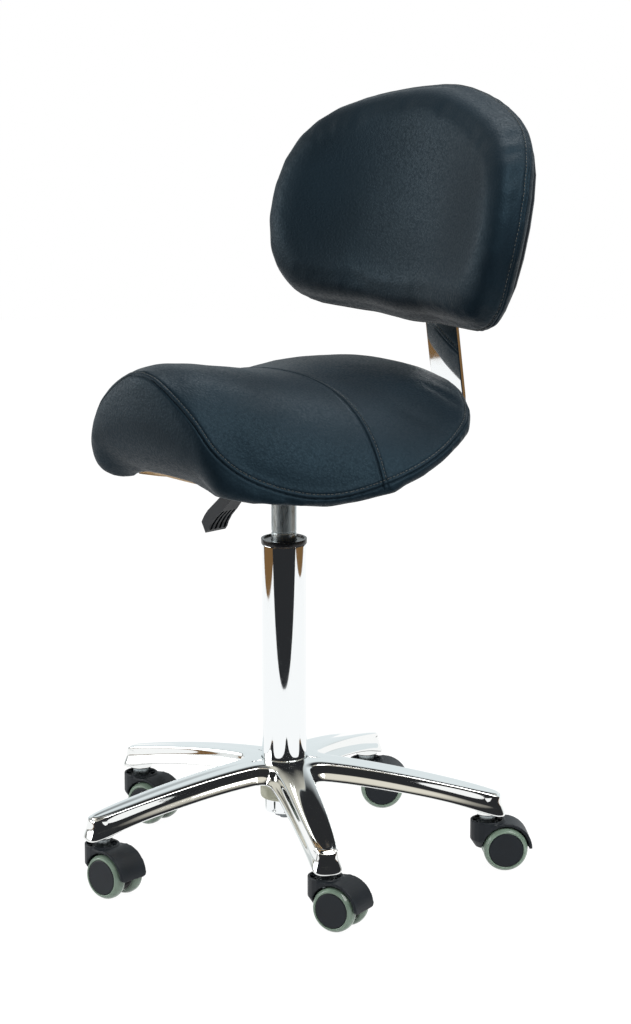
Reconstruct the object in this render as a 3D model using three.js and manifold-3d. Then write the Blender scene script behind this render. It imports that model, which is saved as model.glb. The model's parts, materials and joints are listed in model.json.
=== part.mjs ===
// Saddle stool with backrest: five-arm caster base, gas spring, saddle seat and padded back.
// Millimetres, +Z up. The floor is at Z = 0, the column stands on the Z axis, the saddle's nose points to -Y.
import * as THREE from 'three';
import { mergeVertices } from 'three/addons/utils/BufferGeometryUtils.js';
import Module from 'manifold-3d';

const wasm = await Module();
wasm.setup();

// Gaps and general values
const play = 0.3; // gap between pieces that touch
const runningPlay = 0.4; // gap round a shaft or slide that moves
const boardPlay = 0.9; // gap round the seat board's edge
const overrun = 2; // how far a cutting shape passes the face it cuts
const weldDistance = 0.0001;

// Column: a chromed tube with a tapered tail that seats in the hub
const columnRadius = 25;
const columnWall = 2;
const columnTop = 368.3;
const columnBottom = 57;
const columnTailRadius = 22.2;
const columnTailTop = 74;
const columnTaperTop = 119;
const columnFloor = 6;

// Guide sleeve in the column's mouth
const sleeveFlangeHeight = 5.5;
const sleeveFlangeOverhang = 0.6;
const sleeveRimWidth = 3;
const sleeveRimDepth = 1.6;
const sleeveLength = 120;

// Height of the seat board's underside; the plate, the gas spring's head, the lever and the bar hang from it
const boardUnderside = 454;
const springHeadDrop = 17; // from the board's underside down to each
const bridgeDrop = 24;
const socketDrop = 36;
const paddleDrop = 24.8;

// Gas spring
const springRadius = 14;
const springWall = 2;
const springBottom = 135;
const springTop = boardUnderside - springHeadDrop;
const springEnd = 6;
const springNeckLength = 21;
const springNeckRadius = 13.2;
const rodRadius = 5;
const rodTail = 3.5; // how far the rod shows under the retaining clip
const pistonHeight = 12;
const pistonTop = 342;
const pinRadius = 4;
const pinStandOut = 4;
const pinLength = 16;
const pinTravelRoom = 4;

// Bearing and clip at the column's foot
const bearingHeight = 8;
const bearingWidth = 10;
const clipHeight = 2.5;
const clipRadius = 11;

// Star base
const armCount = 5;
const armReach = 229.5; // radius of the circle of caster stems
const firstArmAngle = -103; // degrees from +X
const hubTop = 123;
const hubUnderside = 98;
const hubCollarTop = 122.6;
const hubRadius = 38;
const bossRadius = 27;
const bossBottom = 71;
const armRootHalfWidth = 24.2;
const armTipHalfWidth = 17;
const armNarrowing = 2.2; // exponent of the arm's taper in plan
const armTipTop = 89.5;
const armDepth = 19.3;
const armTipOverhang = 16.7; // from the caster stem to the arm's end
const armTipSquareness = 2.6;
const tipBossRadius = 13;
const tipBossBottom = 62;
const armFlare = 30;
const armFlareReach = 80;
const armWall = 4;
const armHollowStart = 52;
const armTopBend = 1.6; // exponent of the arm's slope, above 1 is humped
const armSectionShares = [[1, 0], [1, 0.2], [0.95, 0.36], [0.87, 0.5], [0.85, 0.92], [0.8, 1]];
const armStationShares = [0.08, 0.14, 0.19, 0.26, 0.36, 0.5, 0.75, 1];
const armTipShares = [0.45, 0.75, 0.92, 0.99];

// Casters
const wheelRadius = 25;
const casterTrail = 19;
const wheelInnerFace = 6.2;
const wheelWidth = 15.3;
const treadThickness = 5.3;
const treadRoundShare = 0.3;
const treadFacets = 20;
const hubBore = 4;
const axleHalfLength = 16.5;
const hoodHalfWidth = 19.5;
const hoodWall = 3.2;
const wheelGap = 1.8;
const hoodWebHalfWidth = 5.4;
const axleBossRadius = 9;
const hoodLip = 1; // how far the hood ends below the axle
const collarRadius = 19.5;
const collarTop = 56.5;
const collarRim = 2.6;
const collarRecess = 3.6;
const collarFootRadius = 13.5;
const stemRadius = 5.5;
const stemTop = 85;
const stemShoulderRadius = 9;
const stemFoot = 34;
const trailHeadings = [6, 17, 52, 45, 12]; // degrees from +X, as the casters stand

// Saddle seat: the side seam's half outline from the nose to the back, as x, y and z
const noseY = -207;
const noseSeamZ = 587.4;
const cheek = { x: 72.4, y: -199, z: 546 };
const jowl = { x: 99.5, y: -189, z: 512 };
const shoulder = { x: 123.6, y: -155, z: 479 };
const flank = { x: 169, y: -86.5, z: 459 };
const hip = { x: 205, y: 15, z: 485 };
const haunch = { x: 186, y: 100.5, z: 519 };
const rump = { x: 96, y: 169, z: 538 };
const backY = 197;
const backSeamZ = 517;
// Height of the seat's lower edge at the same stations
const skirtHeights = [471, 467, 459.5, 456, 446, 466, 494, 474, 461];
// Height of the crown along the centre line, at stations along Y
const crownYs = [-150, -90, -30, 40, 100, 140];
const crownHeights = [590, 578, 565, 556, 558, 559];
const crownRoundness = 2.8;
const crownShoulder = 1.15;
const skirtTuckNose = 33;
const skirtTuckBack = 17;
const skirtBulgeShare = 0.12;
const crownAngles = [8, 22, 36, 50, 62, 73, 82, 90]; // degrees from the centre line out to the seam
const skirtShares = [[0.2, 1], [0.45, 1], [0.7, -0.1], [0.88, -0.5], [1, -1]]; // fall, and move in or out

// Seat board and the plate under it
const boardThickness = 12;
const boardShare = 0.86; // size of the board in plan, against the seat's lower edge
const boardFlatShare = 0.5;
const boardSpine = [-75, 115]; // Y of the ends of the board's own centre line
const plateHalfX = 60;
const plateHalfY = 66;
const plateThickness = 3;
const bridgeHalfX = 40;
const bridgeHalfY = 28;
const bridgeUnderside = boardUnderside - bridgeDrop;
const socketRadius = 19;
const socketBottom = boardUnderside - socketDrop;
const screwRadius = 3;
const screwHeadRadius = 6;
const screwHeadHeight = 3;
const screwLength = 11;
const screwX = 48;
const screwY = 54;

// Release lever
const leverWidth = 14;
const leverThickness = 6;
const leverPivotX = -24;
const leverPinRadius = 3;
const leverInnerEnd = 9;
const leverElbowX = -39;
const leverEntryX = -61.6; // where the lever enters the paddle
const leverEntryZ = boardUnderside - paddleDrop;
const leverTongue = 15;
const paddleLength = 86;
const paddleDepth = 13.2;
const paddleSlope = 44; // degrees below level
const paddleRootHalfWidth = 9.8;
const paddleTipHalfWidth = 15;
const paddleFanShare = 0.33; // where the paddle starts to widen
const paddleTopShares = [[0, 0.42], [0.1, 0.5], [0.77, 0.53], [0.87, 0.42], [0.965, 0.21], [1, -0.8]];
const paddleUndersideShares = [
  [0.93, -0.79], [0.86, -0.62], [0.72, -0.5], [0.56, -0.54], [0.44, -0.5], [0, -0.42],
];
const paddleRibs = 3;
const paddleRib = 2; // thickness of a rib and of a side wall
const pocketShares = [
  [0.56, -1], [0.59, 0.05], [0.66, 0.28], [0.8, 0.28], [0.88, 0.18], [0.93, -0.1], [0.955, -1],
];

// Backrest bar: flat steel bent under the seat
const barWidth = 50;
const barThickness = 5;
const barFront = 60;
const barRiserY = 264; // where the riser would meet the level of the leg under the seat
const barLean = 8.5; // degrees that the riser leans forward
const barBend = 52;
const barUpperBend = 60;
const barTopZ = 752;

// Guide on the seat plate that holds the bar
const guideStart = 76;
const guideEnd = 146;
const guideWall = 4;
const guideFlange = 18;
// Centre of the bar's leg under the seat, which lies in the guide's way
const barHeight = boardUnderside - play - guideWall - runningPlay - barThickness / 2;

// Hand knobs
const knobRadius = 17;
const knobHeight = 13;
const knobLobes = 6;
const knobLobeDepth = 2.2;
const knobStandOff = 3;
const knobStudRadius = 4;

// Backrest: outline of the pad about its own centre, as x and height
const backrestY = 249.3;
const backrestZ = 733;
const backrestTilt = 15.4; // degrees that the pad leans back
const backrestOutline = [
  [0, 124], [46, 118], [93, 104], [139, 80], [175, 39], [191, -27],
  [183, -99], [155, -135], [107, -145], [54, -144], [0, -147],
];
const padBandDepth = 16;
const padDepth = 66;
const padDish = 12;
// The pad's face from its middle to its edge: size, height over the band and depth of the dish
const faceShares = [
  [0.08, 1, 1], [0.35, 1, 0.9], [0.6, 1, 0.45], [0.76, 0.98, 0.1], [0.87, 0.88, 0],
  [0.94, 0.68, 0], [0.98, 0.4, 0], [1, 0, 0],
];
const padCurveRadius = 360; // sweep of the pad round the sitter's back
const padBackInset = 8;
const shellThickness = 8;
const shellShares = [0.12, 0.5, 0.93]; // the shell's size against the pad's outline, ring by ring
const shellRearShare = 0.97;
const sleeveHalfLength = 30;
const sleeveCentre = -46; // height of the sleeve's middle against the pad's centre
const sleeveWall = 4;

// Finishes
const materials = {
  chrome: new THREE.MeshStandardMaterial({ color: 0xd9dde0, metalness: 1, roughness: 0.08 }),
  zinc: new THREE.MeshStandardMaterial({ color: 0x9aa6aa, metalness: 1, roughness: 0.35 }),
  steel: new THREE.MeshStandardMaterial({ color: 0x6b7073, metalness: 0.9, roughness: 0.45 }),
  plastic: new THREE.MeshStandardMaterial({ color: 0x1d2228, metalness: 0, roughness: 0.5 }),
  tread: new THREE.MeshStandardMaterial({ color: 0x6f8377, metalness: 0, roughness: 0.3 }),
  plywood: new THREE.MeshStandardMaterial({ color: 0xa98457, metalness: 0, roughness: 0.7 }),
  leatherette: new THREE.MeshStandardMaterial({ color: 0x1f2932, metalness: 0, roughness: 0.45 }),
};

const stool = new THREE.Group();
const radians = THREE.MathUtils.degToRad;

// Solids and meshes

// Merges a closed surface's shared vertices, drops collapsed triangles and turns its faces outwards.
function toSolid(geometry) {
  const bare = geometry.clone();
  bare.deleteAttribute('normal');
  bare.deleteAttribute('uv');
  const merged = mergeVertices(bare, weldDistance);
  const index = merged.index.array;
  const triangles = [];
  for (let i = 0; i < index.length; i += 3) {
    const [a, b, c] = [index[i], index[i + 1], index[i + 2]];
    if (a !== b && b !== c && c !== a) triangles.push([a, b, c]);
  }
  const points = merged.attributes.position.array;
  if (signedVolume(points, triangles) < 0) triangles.forEach((t) => t.reverse());
  return new wasm.Manifold(new wasm.Mesh({
    numProp: 3,
    vertProperties: Float32Array.from(points),
    triVerts: Uint32Array.from(triangles.flat()),
  }));
}

function signedVolume(points, triangles) {
  const corner = (i) => new THREE.Vector3().fromArray(points, 3 * i);
  return triangles.reduce((sum, [a, b, c]) => sum + corner(a).dot(corner(b).cross(corner(c))), 0);
}

function toGeometry(solid) {
  const mesh = solid.getMesh();
  const geometry = new THREE.BufferGeometry();
  geometry.setAttribute('position', new THREE.BufferAttribute(Float32Array.from(mesh.vertProperties), 3));
  geometry.setIndex(new THREE.BufferAttribute(Uint32Array.from(mesh.triVerts), 1));
  geometry.computeVertexNormals();
  return geometry;
}

function addPiece(parent, name, solid, material) {
  const mesh = new THREE.Mesh(toGeometry(solid), material);
  mesh.name = name;
  parent.add(mesh);
  return mesh;
}

function revolve(profile, segments) {
  const points = profile.map(([radius, height]) => new THREE.Vector2(radius, height));
  return toSolid(new THREE.LatheGeometry(points, segments).rotateX(Math.PI / 2));
}

function rod(radius, low, high, segments) {
  return revolve([[0, low], [radius, low], [radius, high], [0, high]], segments);
}

function block(xs, ys, zs) {
  const spans = [xs, ys, zs].map(([low, high]) => high - low);
  const middles = [xs, ys, zs].map(([low, high]) => (low + high) / 2);
  return toSolid(new THREE.BoxGeometry(...spans).translate(...middles));
}

// Extrudes an outline drawn in X and Z along Y, centred on Y = 0.
function extrudeAcross(shape, width) {
  const geometry = new THREE.ExtrudeGeometry(shape, { depth: width, bevelEnabled: false, curveSegments: 6 });
  return toSolid(geometry.rotateX(Math.PI / 2).translate(0, width / 2, 0));
}

function shapeFrom(points) {
  return new THREE.Shape(points.map(([x, y]) => new THREE.Vector2(x, y)));
}

// Skins a row of equal rings of points and closes its ends with a fan about each end's middle.
function loft(rings) {
  const count = rings[0].length;
  const points = rings.flat();
  const triangles = [];
  for (let r = 0; r < rings.length - 1; r++) {
    for (let i = 0; i < count; i++) {
      const next = (i + 1) % count;
      const [a, b, c, d] = [r * count + i, r * count + next, (r + 1) * count + next, (r + 1) * count + i];
      triangles.push([a, b, c], [a, c, d]);
    }
  }
  for (const [ring, start] of [[rings[0], 0], [rings.at(-1), (rings.length - 1) * count]]) {
    const middle = ring.reduce((sum, p) => sum.add(p), new THREE.Vector3()).divideScalar(count);
    points.push(middle);
    for (let i = 0; i < count; i++) {
      const pair = [start + (i + 1) % count, start + i];
      triangles.push(start === 0 ? [points.length - 1, ...pair] : [points.length - 1, ...pair.reverse()]);
    }
  }
  const geometry = new THREE.BufferGeometry();
  const values = points.flatMap((p) => [p.x, p.y, p.z]);
  geometry.setAttribute('position', new THREE.Float32BufferAttribute(values, 3));
  geometry.setIndex(triangles.flat());
  return toSolid(geometry);
}

// Column and gas spring

function columnTube() {
  const inner = columnRadius - columnWall;
  const tailInner = columnTailRadius - columnWall;
  const hole = rodRadius + runningPlay;
  return revolve([
    [hole, columnBottom], [columnTailRadius, columnBottom], [columnTailRadius, columnTailTop],
    [columnRadius, columnTaperTop], [columnRadius, columnTop], [inner, columnTop],
    [inner, columnTaperTop], [tailInner, columnTailTop], [tailInner, columnBottom + columnFloor],
    [hole, columnBottom + columnFloor], [hole, columnBottom],
  ], 24);
}

function guideSleeve() {
  const bore = springRadius + runningPlay;
  const outer = columnRadius - columnWall - play;
  const flange = columnRadius + sleeveFlangeOverhang;
  const seat = columnTop + play;
  const top = seat + sleeveFlangeHeight;
  const rimInner = flange - sleeveRimWidth;
  const ring = bore + sleeveRimWidth;
  return revolve([
    [bore, seat - sleeveLength], [outer, seat - sleeveLength], [outer, seat], [flange, seat],
    [flange, top - sleeveFlangeOverhang], [flange - sleeveFlangeOverhang, top], [rimInner, top],
    [rimInner, top - sleeveRimDepth], [ring, top - sleeveRimDepth], [ring, top], [bore, top],
    [bore, seat - sleeveLength],
  ], 24);
}

function gasSpring() {
  const bore = springRadius - springWall;
  const rodHole = rodRadius + runningPlay;
  const pinHole = pinRadius + play;
  const pinFloor = springTop + pinStandOut - pinLength - pinTravelRoom;
  return revolve([
    [rodHole, springBottom], [springRadius, springBottom], [springRadius, springTop - springNeckLength],
    [springNeckRadius, springTop], [pinHole, springTop], [pinHole, pinFloor], [0, pinFloor],
    [0, pinFloor - springEnd], [bore, pinFloor - springEnd], [bore, springBottom + springEnd],
    [rodHole, springBottom + springEnd], [rodHole, springBottom],
  ], 24);
}

function pistonRod() {
  const foot = columnBottom - play - clipHeight - rodTail;
  const piston = springRadius - springWall - runningPlay;
  return revolve([
    [0, foot], [rodRadius, foot], [rodRadius, pistonTop - pistonHeight],
    [piston, pistonTop - pistonHeight], [piston, pistonTop], [0, pistonTop],
  ], 20);
}

function releasePin() {
  const top = springTop + pinStandOut;
  return rod(pinRadius, top - pinLength, top, 14);
}

function ringAround(inner, outer, low, high, segments) {
  return revolve([[inner, low], [outer, low], [outer, high], [inner, high], [inner, low]], segments);
}

function thrustBearing() {
  const low = columnBottom + columnFloor + play;
  const inner = rodRadius + runningPlay;
  return ringAround(inner, inner + bearingWidth, low, low + bearingHeight, 20);
}

function retainingClip() {
  const high = columnBottom - play;
  return ringAround(rodRadius + play, clipRadius, high - clipHeight, high, 20);
}

// Star base

function armHalfWidth(reach) {
  if (reach > armReach) {
    const past = (reach - armReach) / armTipOverhang;
    return armTipHalfWidth * (1 - past ** armTipSquareness) ** (1 / armTipSquareness);
  }
  const narrowing = (reach / armReach) ** armNarrowing;
  const tapered = armRootHalfWidth - (armRootHalfWidth - armTipHalfWidth) * narrowing;
  return tapered + armFlare * Math.max(0, 1 - reach / armFlareReach) ** 2;
}

function armTop(reach) {
  return hubTop - (hubTop - armTipTop) * (Math.min(reach, armReach) / armReach) ** armTopBend;
}

function armUnderside(reach) {
  return armTop(reach) - armDepth;
}

// One cross-section of an arm that runs along +X
function armSection(reach) {
  const width = armHalfWidth(reach);
  const low = armUnderside(reach);
  const height = armTop(reach) - low;
  const side = armSectionShares.map(([w, h]) => new THREE.Vector3(reach, w * width, low + h * height));
  const mirrored = side.map((p) => new THREE.Vector3(p.x, -p.y, p.z)).reverse();
  return [...side, ...mirrored];
}

function armStations() {
  const along = armStationShares.map((share) => share * armReach);
  const tip = armTipShares.map((share) => armReach + share * armTipOverhang);
  return [...along, ...tip];
}

// The open channel under an arm, from beside the hub to the caster socket
function armHollow() {
  const end = armReach - tipBossRadius;
  const reaches = [armHollowStart, (armHollowStart + end) / 2, end];
  return loft(reaches.map((reach) => {
    const roof = armTop(reach) - armWall;
    const floor = armUnderside(reach) - overrun;
    const wide = armHalfWidth(reach) - armWall;
    const narrow = wide * armSectionShares[3][0];
    return [[narrow, roof], [wide, floor], [-wide, floor], [-narrow, roof]]
      .map(([y, z]) => new THREE.Vector3(reach, y, z));
  }));
}

function starArm() {
  const socket = rod(stemRadius + play, tipBossBottom - overrun, stemTop + play, 14);
  const boss = rod(tipBossRadius, tipBossBottom, armTipTop - armWall, 20);
  const arm = loft(armStations().map(armSection)).subtract(armHollow());
  return arm.add(boss.translate([armReach, 0, 0])).subtract(socket.translate([armReach, 0, 0]));
}

function starBase() {
  const neck = columnRadius + columnWall;
  const hub = revolve([
    [0, bossBottom], [bossRadius, bossBottom], [bossRadius, hubUnderside], [hubRadius, hubUnderside],
    [hubRadius, hubCollarTop - 2 * columnWall], [neck + columnWall, hubCollarTop - columnWall / 2],
    [neck, hubCollarTop], [0, hubCollarTop],
  ], 24);
  const tail = columnTailRadius + play;
  const mouth = columnRadius + play;
  const taper = revolve([
    [0, bossBottom - overrun], [tail, bossBottom - overrun], [tail, columnTailTop],
    [mouth, columnTaperTop], [mouth, hubCollarTop + overrun], [0, hubCollarTop + overrun],
  ], 24);
  const arm = starArm();
  let star = hub;
  for (let i = 0; i < armCount; i++) {
    star = star.add(arm.rotate([0, 0, firstArmAngle + i * 360 / armCount]));
  }
  return star.subtract(taper);
}

// Casters, each in its own frame: swivel axis on Z, wheels trailing along +X, axle along Y

function alongAxle(solid) {
  return solid.rotate([-90, 0, 0]).translate([casterTrail, 0, wheelRadius]);
}

// Side outline of the hood, in X and Z, with its arch over the wheels filled in
function hoodOutline() {
  const outer = wheelRadius + wheelGap + hoodWall;
  const lip = wheelRadius - hoodLip;
  const shape = new THREE.Shape();
  shape.moveTo(casterTrail + outer, lip);
  shape.lineTo(casterTrail + outer, wheelRadius);
  shape.absarc(casterTrail, wheelRadius, outer, 0, Math.PI / 2, false);
  shape.lineTo(0, collarTop - collarRecess);
  shape.lineTo(0, lip);
  shape.closePath();
  return shape;
}

function hoodCollar() {
  return revolve([
    [0, wheelRadius], [collarFootRadius, wheelRadius], [collarRadius, wheelRadius + axleBossRadius],
    [collarRadius, collarTop], [0, collarTop],
  ], 20);
}

function casterHood() {
  const well = wheelRadius + wheelGap;
  const outside = hoodHalfWidth + overrun;
  const boss = rod(axleBossRadius, -hoodWebHalfWidth, hoodWebHalfWidth, 12);
  const stemHole = rod(stemRadius + runningPlay, stemFoot - play, collarTop, 14);
  const recess = rod(collarRadius - collarRim, collarTop - collarRecess, collarTop + overrun, 20);
  return extrudeAcross(hoodOutline(), 2 * hoodHalfWidth)
    .add(hoodCollar())
    .subtract(alongAxle(rod(well, hoodWebHalfWidth, outside, 20)))
    .subtract(alongAxle(rod(well, -outside, -hoodWebHalfWidth, 20)))
    .add(alongAxle(boss))
    .subtract(alongAxle(rod(hubBore + play, -outside, outside, 12)))
    .subtract(stemHole)
    .subtract(recess);
}

// The stem sits in the arm's socket; its shoulder bears on the arm and the hood turns under it.
function casterStem() {
  const shoulderLow = collarTop - collarRecess + runningPlay;
  const shoulderHigh = tipBossBottom - play;
  return revolve([
    [0, stemFoot], [stemRadius, stemFoot], [stemRadius, shoulderLow], [stemShoulderRadius, shoulderLow],
    [stemShoulderRadius, shoulderHigh], [stemRadius, shoulderHigh], [stemRadius, stemTop], [0, stemTop],
  ], 14);
}

function casterAxle() {
  return alongAxle(rod(hubBore, -axleHalfLength, axleHalfLength, 12));
}

// Profiles of one wheel along its axle, from the side next to the hood outwards.
// The tread's facets are turned so that it stands on a flat one at Z = 0.
function wheelTread() {
  const outer = wheelRadius / Math.cos(Math.PI / treadFacets);
  const inner = wheelRadius - treadThickness;
  const round = treadRoundShare * wheelWidth;
  const [near, far] = [wheelInnerFace + play, wheelInnerFace + wheelWidth];
  const shoulder = outer - round / 3;
  return revolve([
    [inner, near], [shoulder, near], [outer, near + round], [outer, far - round],
    [shoulder, far - round / 4], [inner, far], [inner, near],
  ], treadFacets).rotate([0, 0, 180 / treadFacets]);
}

function wheelCore() {
  const rim = wheelRadius - treadThickness - play;
  const bore = hubBore + runningPlay;
  const [near, far] = [wheelInnerFace, wheelInnerFace + wheelWidth];
  const blind = axleHalfLength + play;
  const dish = (near + blind) / 2;
  return revolve([
    [bore, near], [2 * bore, near], [2 * bore, dish], [rim - treadThickness / 2, dish],
    [rim - treadThickness / 2, near + play], [rim, near + play], [rim, far], [0, far], [0, blind],
    [bore, blind], [bore, near],
  ], 14);
}

function addCaster(number) {
  const armAngle = radians(firstArmAngle + (number - 1) * 360 / armCount);
  const caster = new THREE.Group();
  caster.position.set(armReach * Math.cos(armAngle), armReach * Math.sin(armAngle), 0);
  caster.rotation.z = radians(trailHeadings[number - 1]);
  stool.add(caster);
  addPiece(caster, `caster_hood_${number}`, casterHood(), materials.plastic);
  addPiece(caster, `caster_stem_${number}`, casterStem(), materials.zinc);
  addPiece(caster, `caster_axle_${number}`, casterAxle(), materials.steel);
  const sides = [['a', 0], ['b', 180]];
  for (const [side, turn] of sides) {
    const place = (solid) => alongAxle(solid.rotate([turn, 0, 0]));
    addPiece(caster, `wheel_core_${number}${side}`, place(wheelCore()), materials.plastic);
    addPiece(caster, `wheel_tread_${number}${side}`, place(wheelTread()), materials.tread);
  }
}

// Seat

function mirrorOutline(half) {
  const other = half.slice(1, -1).reverse().map((p) => new THREE.Vector3(-p.x, p.y, p.z));
  return [...half, ...other];
}

// A closed smooth ring through control points, with the same steps between each pair
function smoothRing(points, steps) {
  const curve = new THREE.CatmullRomCurve3(points, true, 'centripetal');
  return Array.from({ length: points.length * steps }, (_, i) => curve.getPoint(i / (points.length * steps)));
}

// Height at y, read off a smooth curve through stations
function heightAlong(ys, heights, y) {
  const last = ys.length - 1;
  const clamped = THREE.MathUtils.clamp(y, ys[0], ys[last]);
  const i = Math.min(last - 1, ys.findLastIndex((value) => value <= clamped));
  const slope = (k) => {
    const [low, high] = [Math.max(0, k - 1), Math.min(last, k + 1)];
    return (heights[high] - heights[low]) / (ys[high] - ys[low]);
  };
  const span = ys[i + 1] - ys[i];
  const t = (clamped - ys[i]) / span;
  const rise = heights[i + 1] - heights[i];
  const [start, end] = [slope(i) * span, slope(i + 1) * span];
  return heights[i] + start * t + (3 * rise - 2 * start - end) * t * t + (start + end - 2 * rise) * t * t * t;
}

function seamRing(steps) {
  const places = [cheek, jowl, shoulder, flank, hip, haunch, rump];
  const stations = places.map((s) => new THREE.Vector3(s.x, s.y, s.z));
  const nose = new THREE.Vector3(0, noseY, noseSeamZ);
  const back = new THREE.Vector3(0, backY, backSeamZ);
  return smoothRing(mirrorOutline([nose, ...stations, back]), steps);
}

// The lower edge: the seam's outline drawn in, at the skirt's heights
function skirtRing(seam, steps) {
  const half = skirtHeights.map((z, i) => new THREE.Vector3(0, i, z));
  const heights = smoothRing(mirrorOutline(half), steps).map((p) => p.z);
  const outwards = outwardDirections(seam);
  return seam.map((p, i) => {
    const share = (p.y - noseY) / (backY - noseY);
    const tuck = THREE.MathUtils.lerp(skirtTuckNose, skirtTuckBack, share);
    return new THREE.Vector3(p.x - outwards[i].x * tuck, p.y - outwards[i].y * tuck, heights[i]);
  });
}

function outwardDirections(ring) {
  return ring.map((_, i) => {
    const ahead = ring[(i + 1) % ring.length];
    const behind = ring.at(i - 1);
    return new THREE.Vector3(ahead.y - behind.y, behind.x - ahead.x, 0).normalize();
  });
}

// For each ring point, the point of the seat's centre line that it closes on
function spineRing(ring, heightAt) {
  return ring.map((p) => {
    const y = THREE.MathUtils.clamp(p.y, crownYs[0], crownYs.at(-1));
    return new THREE.Vector3(0, y, heightAt(y));
  });
}

function between(from, to, planShare, heightShare) {
  return from.map((p, i) => {
    const q = to[i];
    const at = p.clone().lerp(q, planShare);
    at.z = THREE.MathUtils.lerp(p.z, q.z, heightShare);
    return at;
  });
}

function seatTopRings(seam) {
  const spine = spineRing(seam, (y) => heightAlong(crownYs, crownHeights, y));
  return crownAngles.map((angle) => {
    const out = Math.sin(radians(angle)) ** (2 / crownRoundness);
    const down = 1 - Math.max(0, Math.cos(radians(angle))) ** (2 / crownShoulder);
    return between(spine, seam, out, down);
  });
}

// The side band: it bulges a little under the seam, then tucks in to the lower edge
function seatSideRings(seam, skirt) {
  return skirtShares.map(([drop, out]) => seam.map((p, i) => {
    const inward = skirt[i].clone().sub(p).setZ(0);
    const move = out > 0 ? -skirtBulgeShare * out : -out;
    const at = p.clone().addScaledVector(inward, move);
    at.z = THREE.MathUtils.lerp(p.z, skirt[i].z, drop);
    return at;
  }));
}

// The underside of the seat board: level in the middle, following the lower edge outside
function undersideRing(skirt, share, rise) {
  const onSpine = (y) => THREE.MathUtils.clamp(y, ...boardSpine);
  const middle = skirt.map((p) => new THREE.Vector3(0, onSpine(p.y), boardUnderside));
  const blend = THREE.MathUtils.smoothstep(share, boardFlatShare, 1);
  const heights = between(middle, skirt, share, blend);
  return heights.map((p) => p.setZ(p.z + rise));
}

function boardShares() {
  return [boardFlatShare / 8, boardFlatShare, (boardShare + boardFlatShare) / 2, boardShare];
}

function seatCushion() {
  const steps = 3;
  const seam = seamRing(steps);
  const skirt = skirtRing(seam, steps);
  const pocketShare = boardShare + boardPlay / flank.x;
  const roof = boardShares().map((share) => undersideRing(skirt, share, boardThickness + play)).reverse();
  return loft([
    ...seatTopRings(seam), ...seatSideRings(seam, skirt), undersideRing(skirt, pocketShare, 0),
    undersideRing(skirt, pocketShare, boardThickness + play), ...roof,
  ]);
}

function seatBoard() {
  const steps = 3;
  const skirt = skirtRing(seamRing(steps), steps);
  const under = boardShares().map((share) => undersideRing(skirt, share, 0));
  const top = boardShares().map((share) => undersideRing(skirt, share, boardThickness)).reverse();
  const holes = screwPlaces().map(([x, y]) => {
    const depth = screwLength - plateThickness + play;
    return rod(screwRadius + play, boardUnderside - overrun, boardUnderside + depth, 12).translate([x, y, 0]);
  });
  return holes.reduce((board, hole) => board.subtract(hole), loft([...under, ...top]));
}

function screwPlaces() {
  return [[-screwX, -screwY], [screwX, -screwY], [-screwX, screwY], [screwX, screwY]];
}

function seatPlate() {
  const top = boardUnderside - play;
  const low = top - plateThickness;
  const plate = block([-plateHalfX, plateHalfX], [-plateHalfY, plateHalfY], [low, top]);
  const bridgeTop = bridgeUnderside + plateThickness;
  const wide = bridgeHalfY + plateThickness;
  const bridge = block([-bridgeHalfX, bridgeHalfX], [-wide, wide], [bridgeUnderside, bridgeTop]);
  const web = (side) => {
    const ys = [side * bridgeHalfY, side * wide].sort((a, b) => a - b);
    return block([-bridgeHalfX, bridgeHalfX], ys, [bridgeUnderside, low + overrun]);
  };
  const socket = rod(socketRadius, socketBottom, bridgeTop, 24);
  const neckLow = springTop - springNeckLength;
  const taper = revolve([
    [0, neckLow - overrun], [springRadius + play, neckLow - overrun], [springRadius + play, neckLow],
    [springNeckRadius + play, springTop], [0, springTop],
  ], 24);
  const pivot = rod(leverPinRadius + play, -wide - overrun, wide + overrun, 16)
    .rotate([90, 0, 0]).translate([leverPivotX, 0, leverCentreZ()]);
  const bracket = plate.add(bridge).add(web(1)).add(web(-1)).add(socket).subtract(taper).subtract(pivot);
  const body = withBarGuide(bracket, top);
  return screwPlaces().reduce((whole, [x, y]) => {
    const hole = rod(screwRadius + play, low - overrun, top + overrun, 12);
    return whole.subtract(hole.translate([x, y, 0]));
  }, body);
}

function seatScrew([x, y]) {
  const head = boardUnderside - play - plateThickness - play;
  return revolve([
    [0, head - screwHeadHeight], [screwHeadRadius - screwHeadHeight / 2, head - screwHeadHeight],
    [screwHeadRadius, head - screwHeadHeight / 2], [screwHeadRadius, head], [screwRadius, head],
    [screwRadius, head + screwLength], [0, head + screwLength],
  ], 10).translate([x, y, 0]);
}

// Release lever

function leverCentreZ() {
  return springTop + pinStandOut + play + leverThickness / 2;
}

function leverRod() {
  const entry = new THREE.Vector2(leverEntryX, leverEntryZ);
  const outwards = new THREE.Vector2(-Math.cos(radians(paddleSlope)), -Math.sin(radians(paddleSlope)));
  const path = [
    new THREE.Vector2(leverInnerEnd, leverCentreZ()), new THREE.Vector2(leverElbowX, leverCentreZ()),
    entry, entry.clone().addScaledVector(outwards, leverTongue),
  ];
  const reach = bridgeHalfY + plateThickness;
  const pin = rod(leverPinRadius, -reach, reach, 16).rotate([90, 0, 0]);
  return extrudeAcross(stripShape(path, leverThickness), leverWidth)
    .add(pin.translate([leverPivotX, 0, leverCentreZ()]));
}

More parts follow.
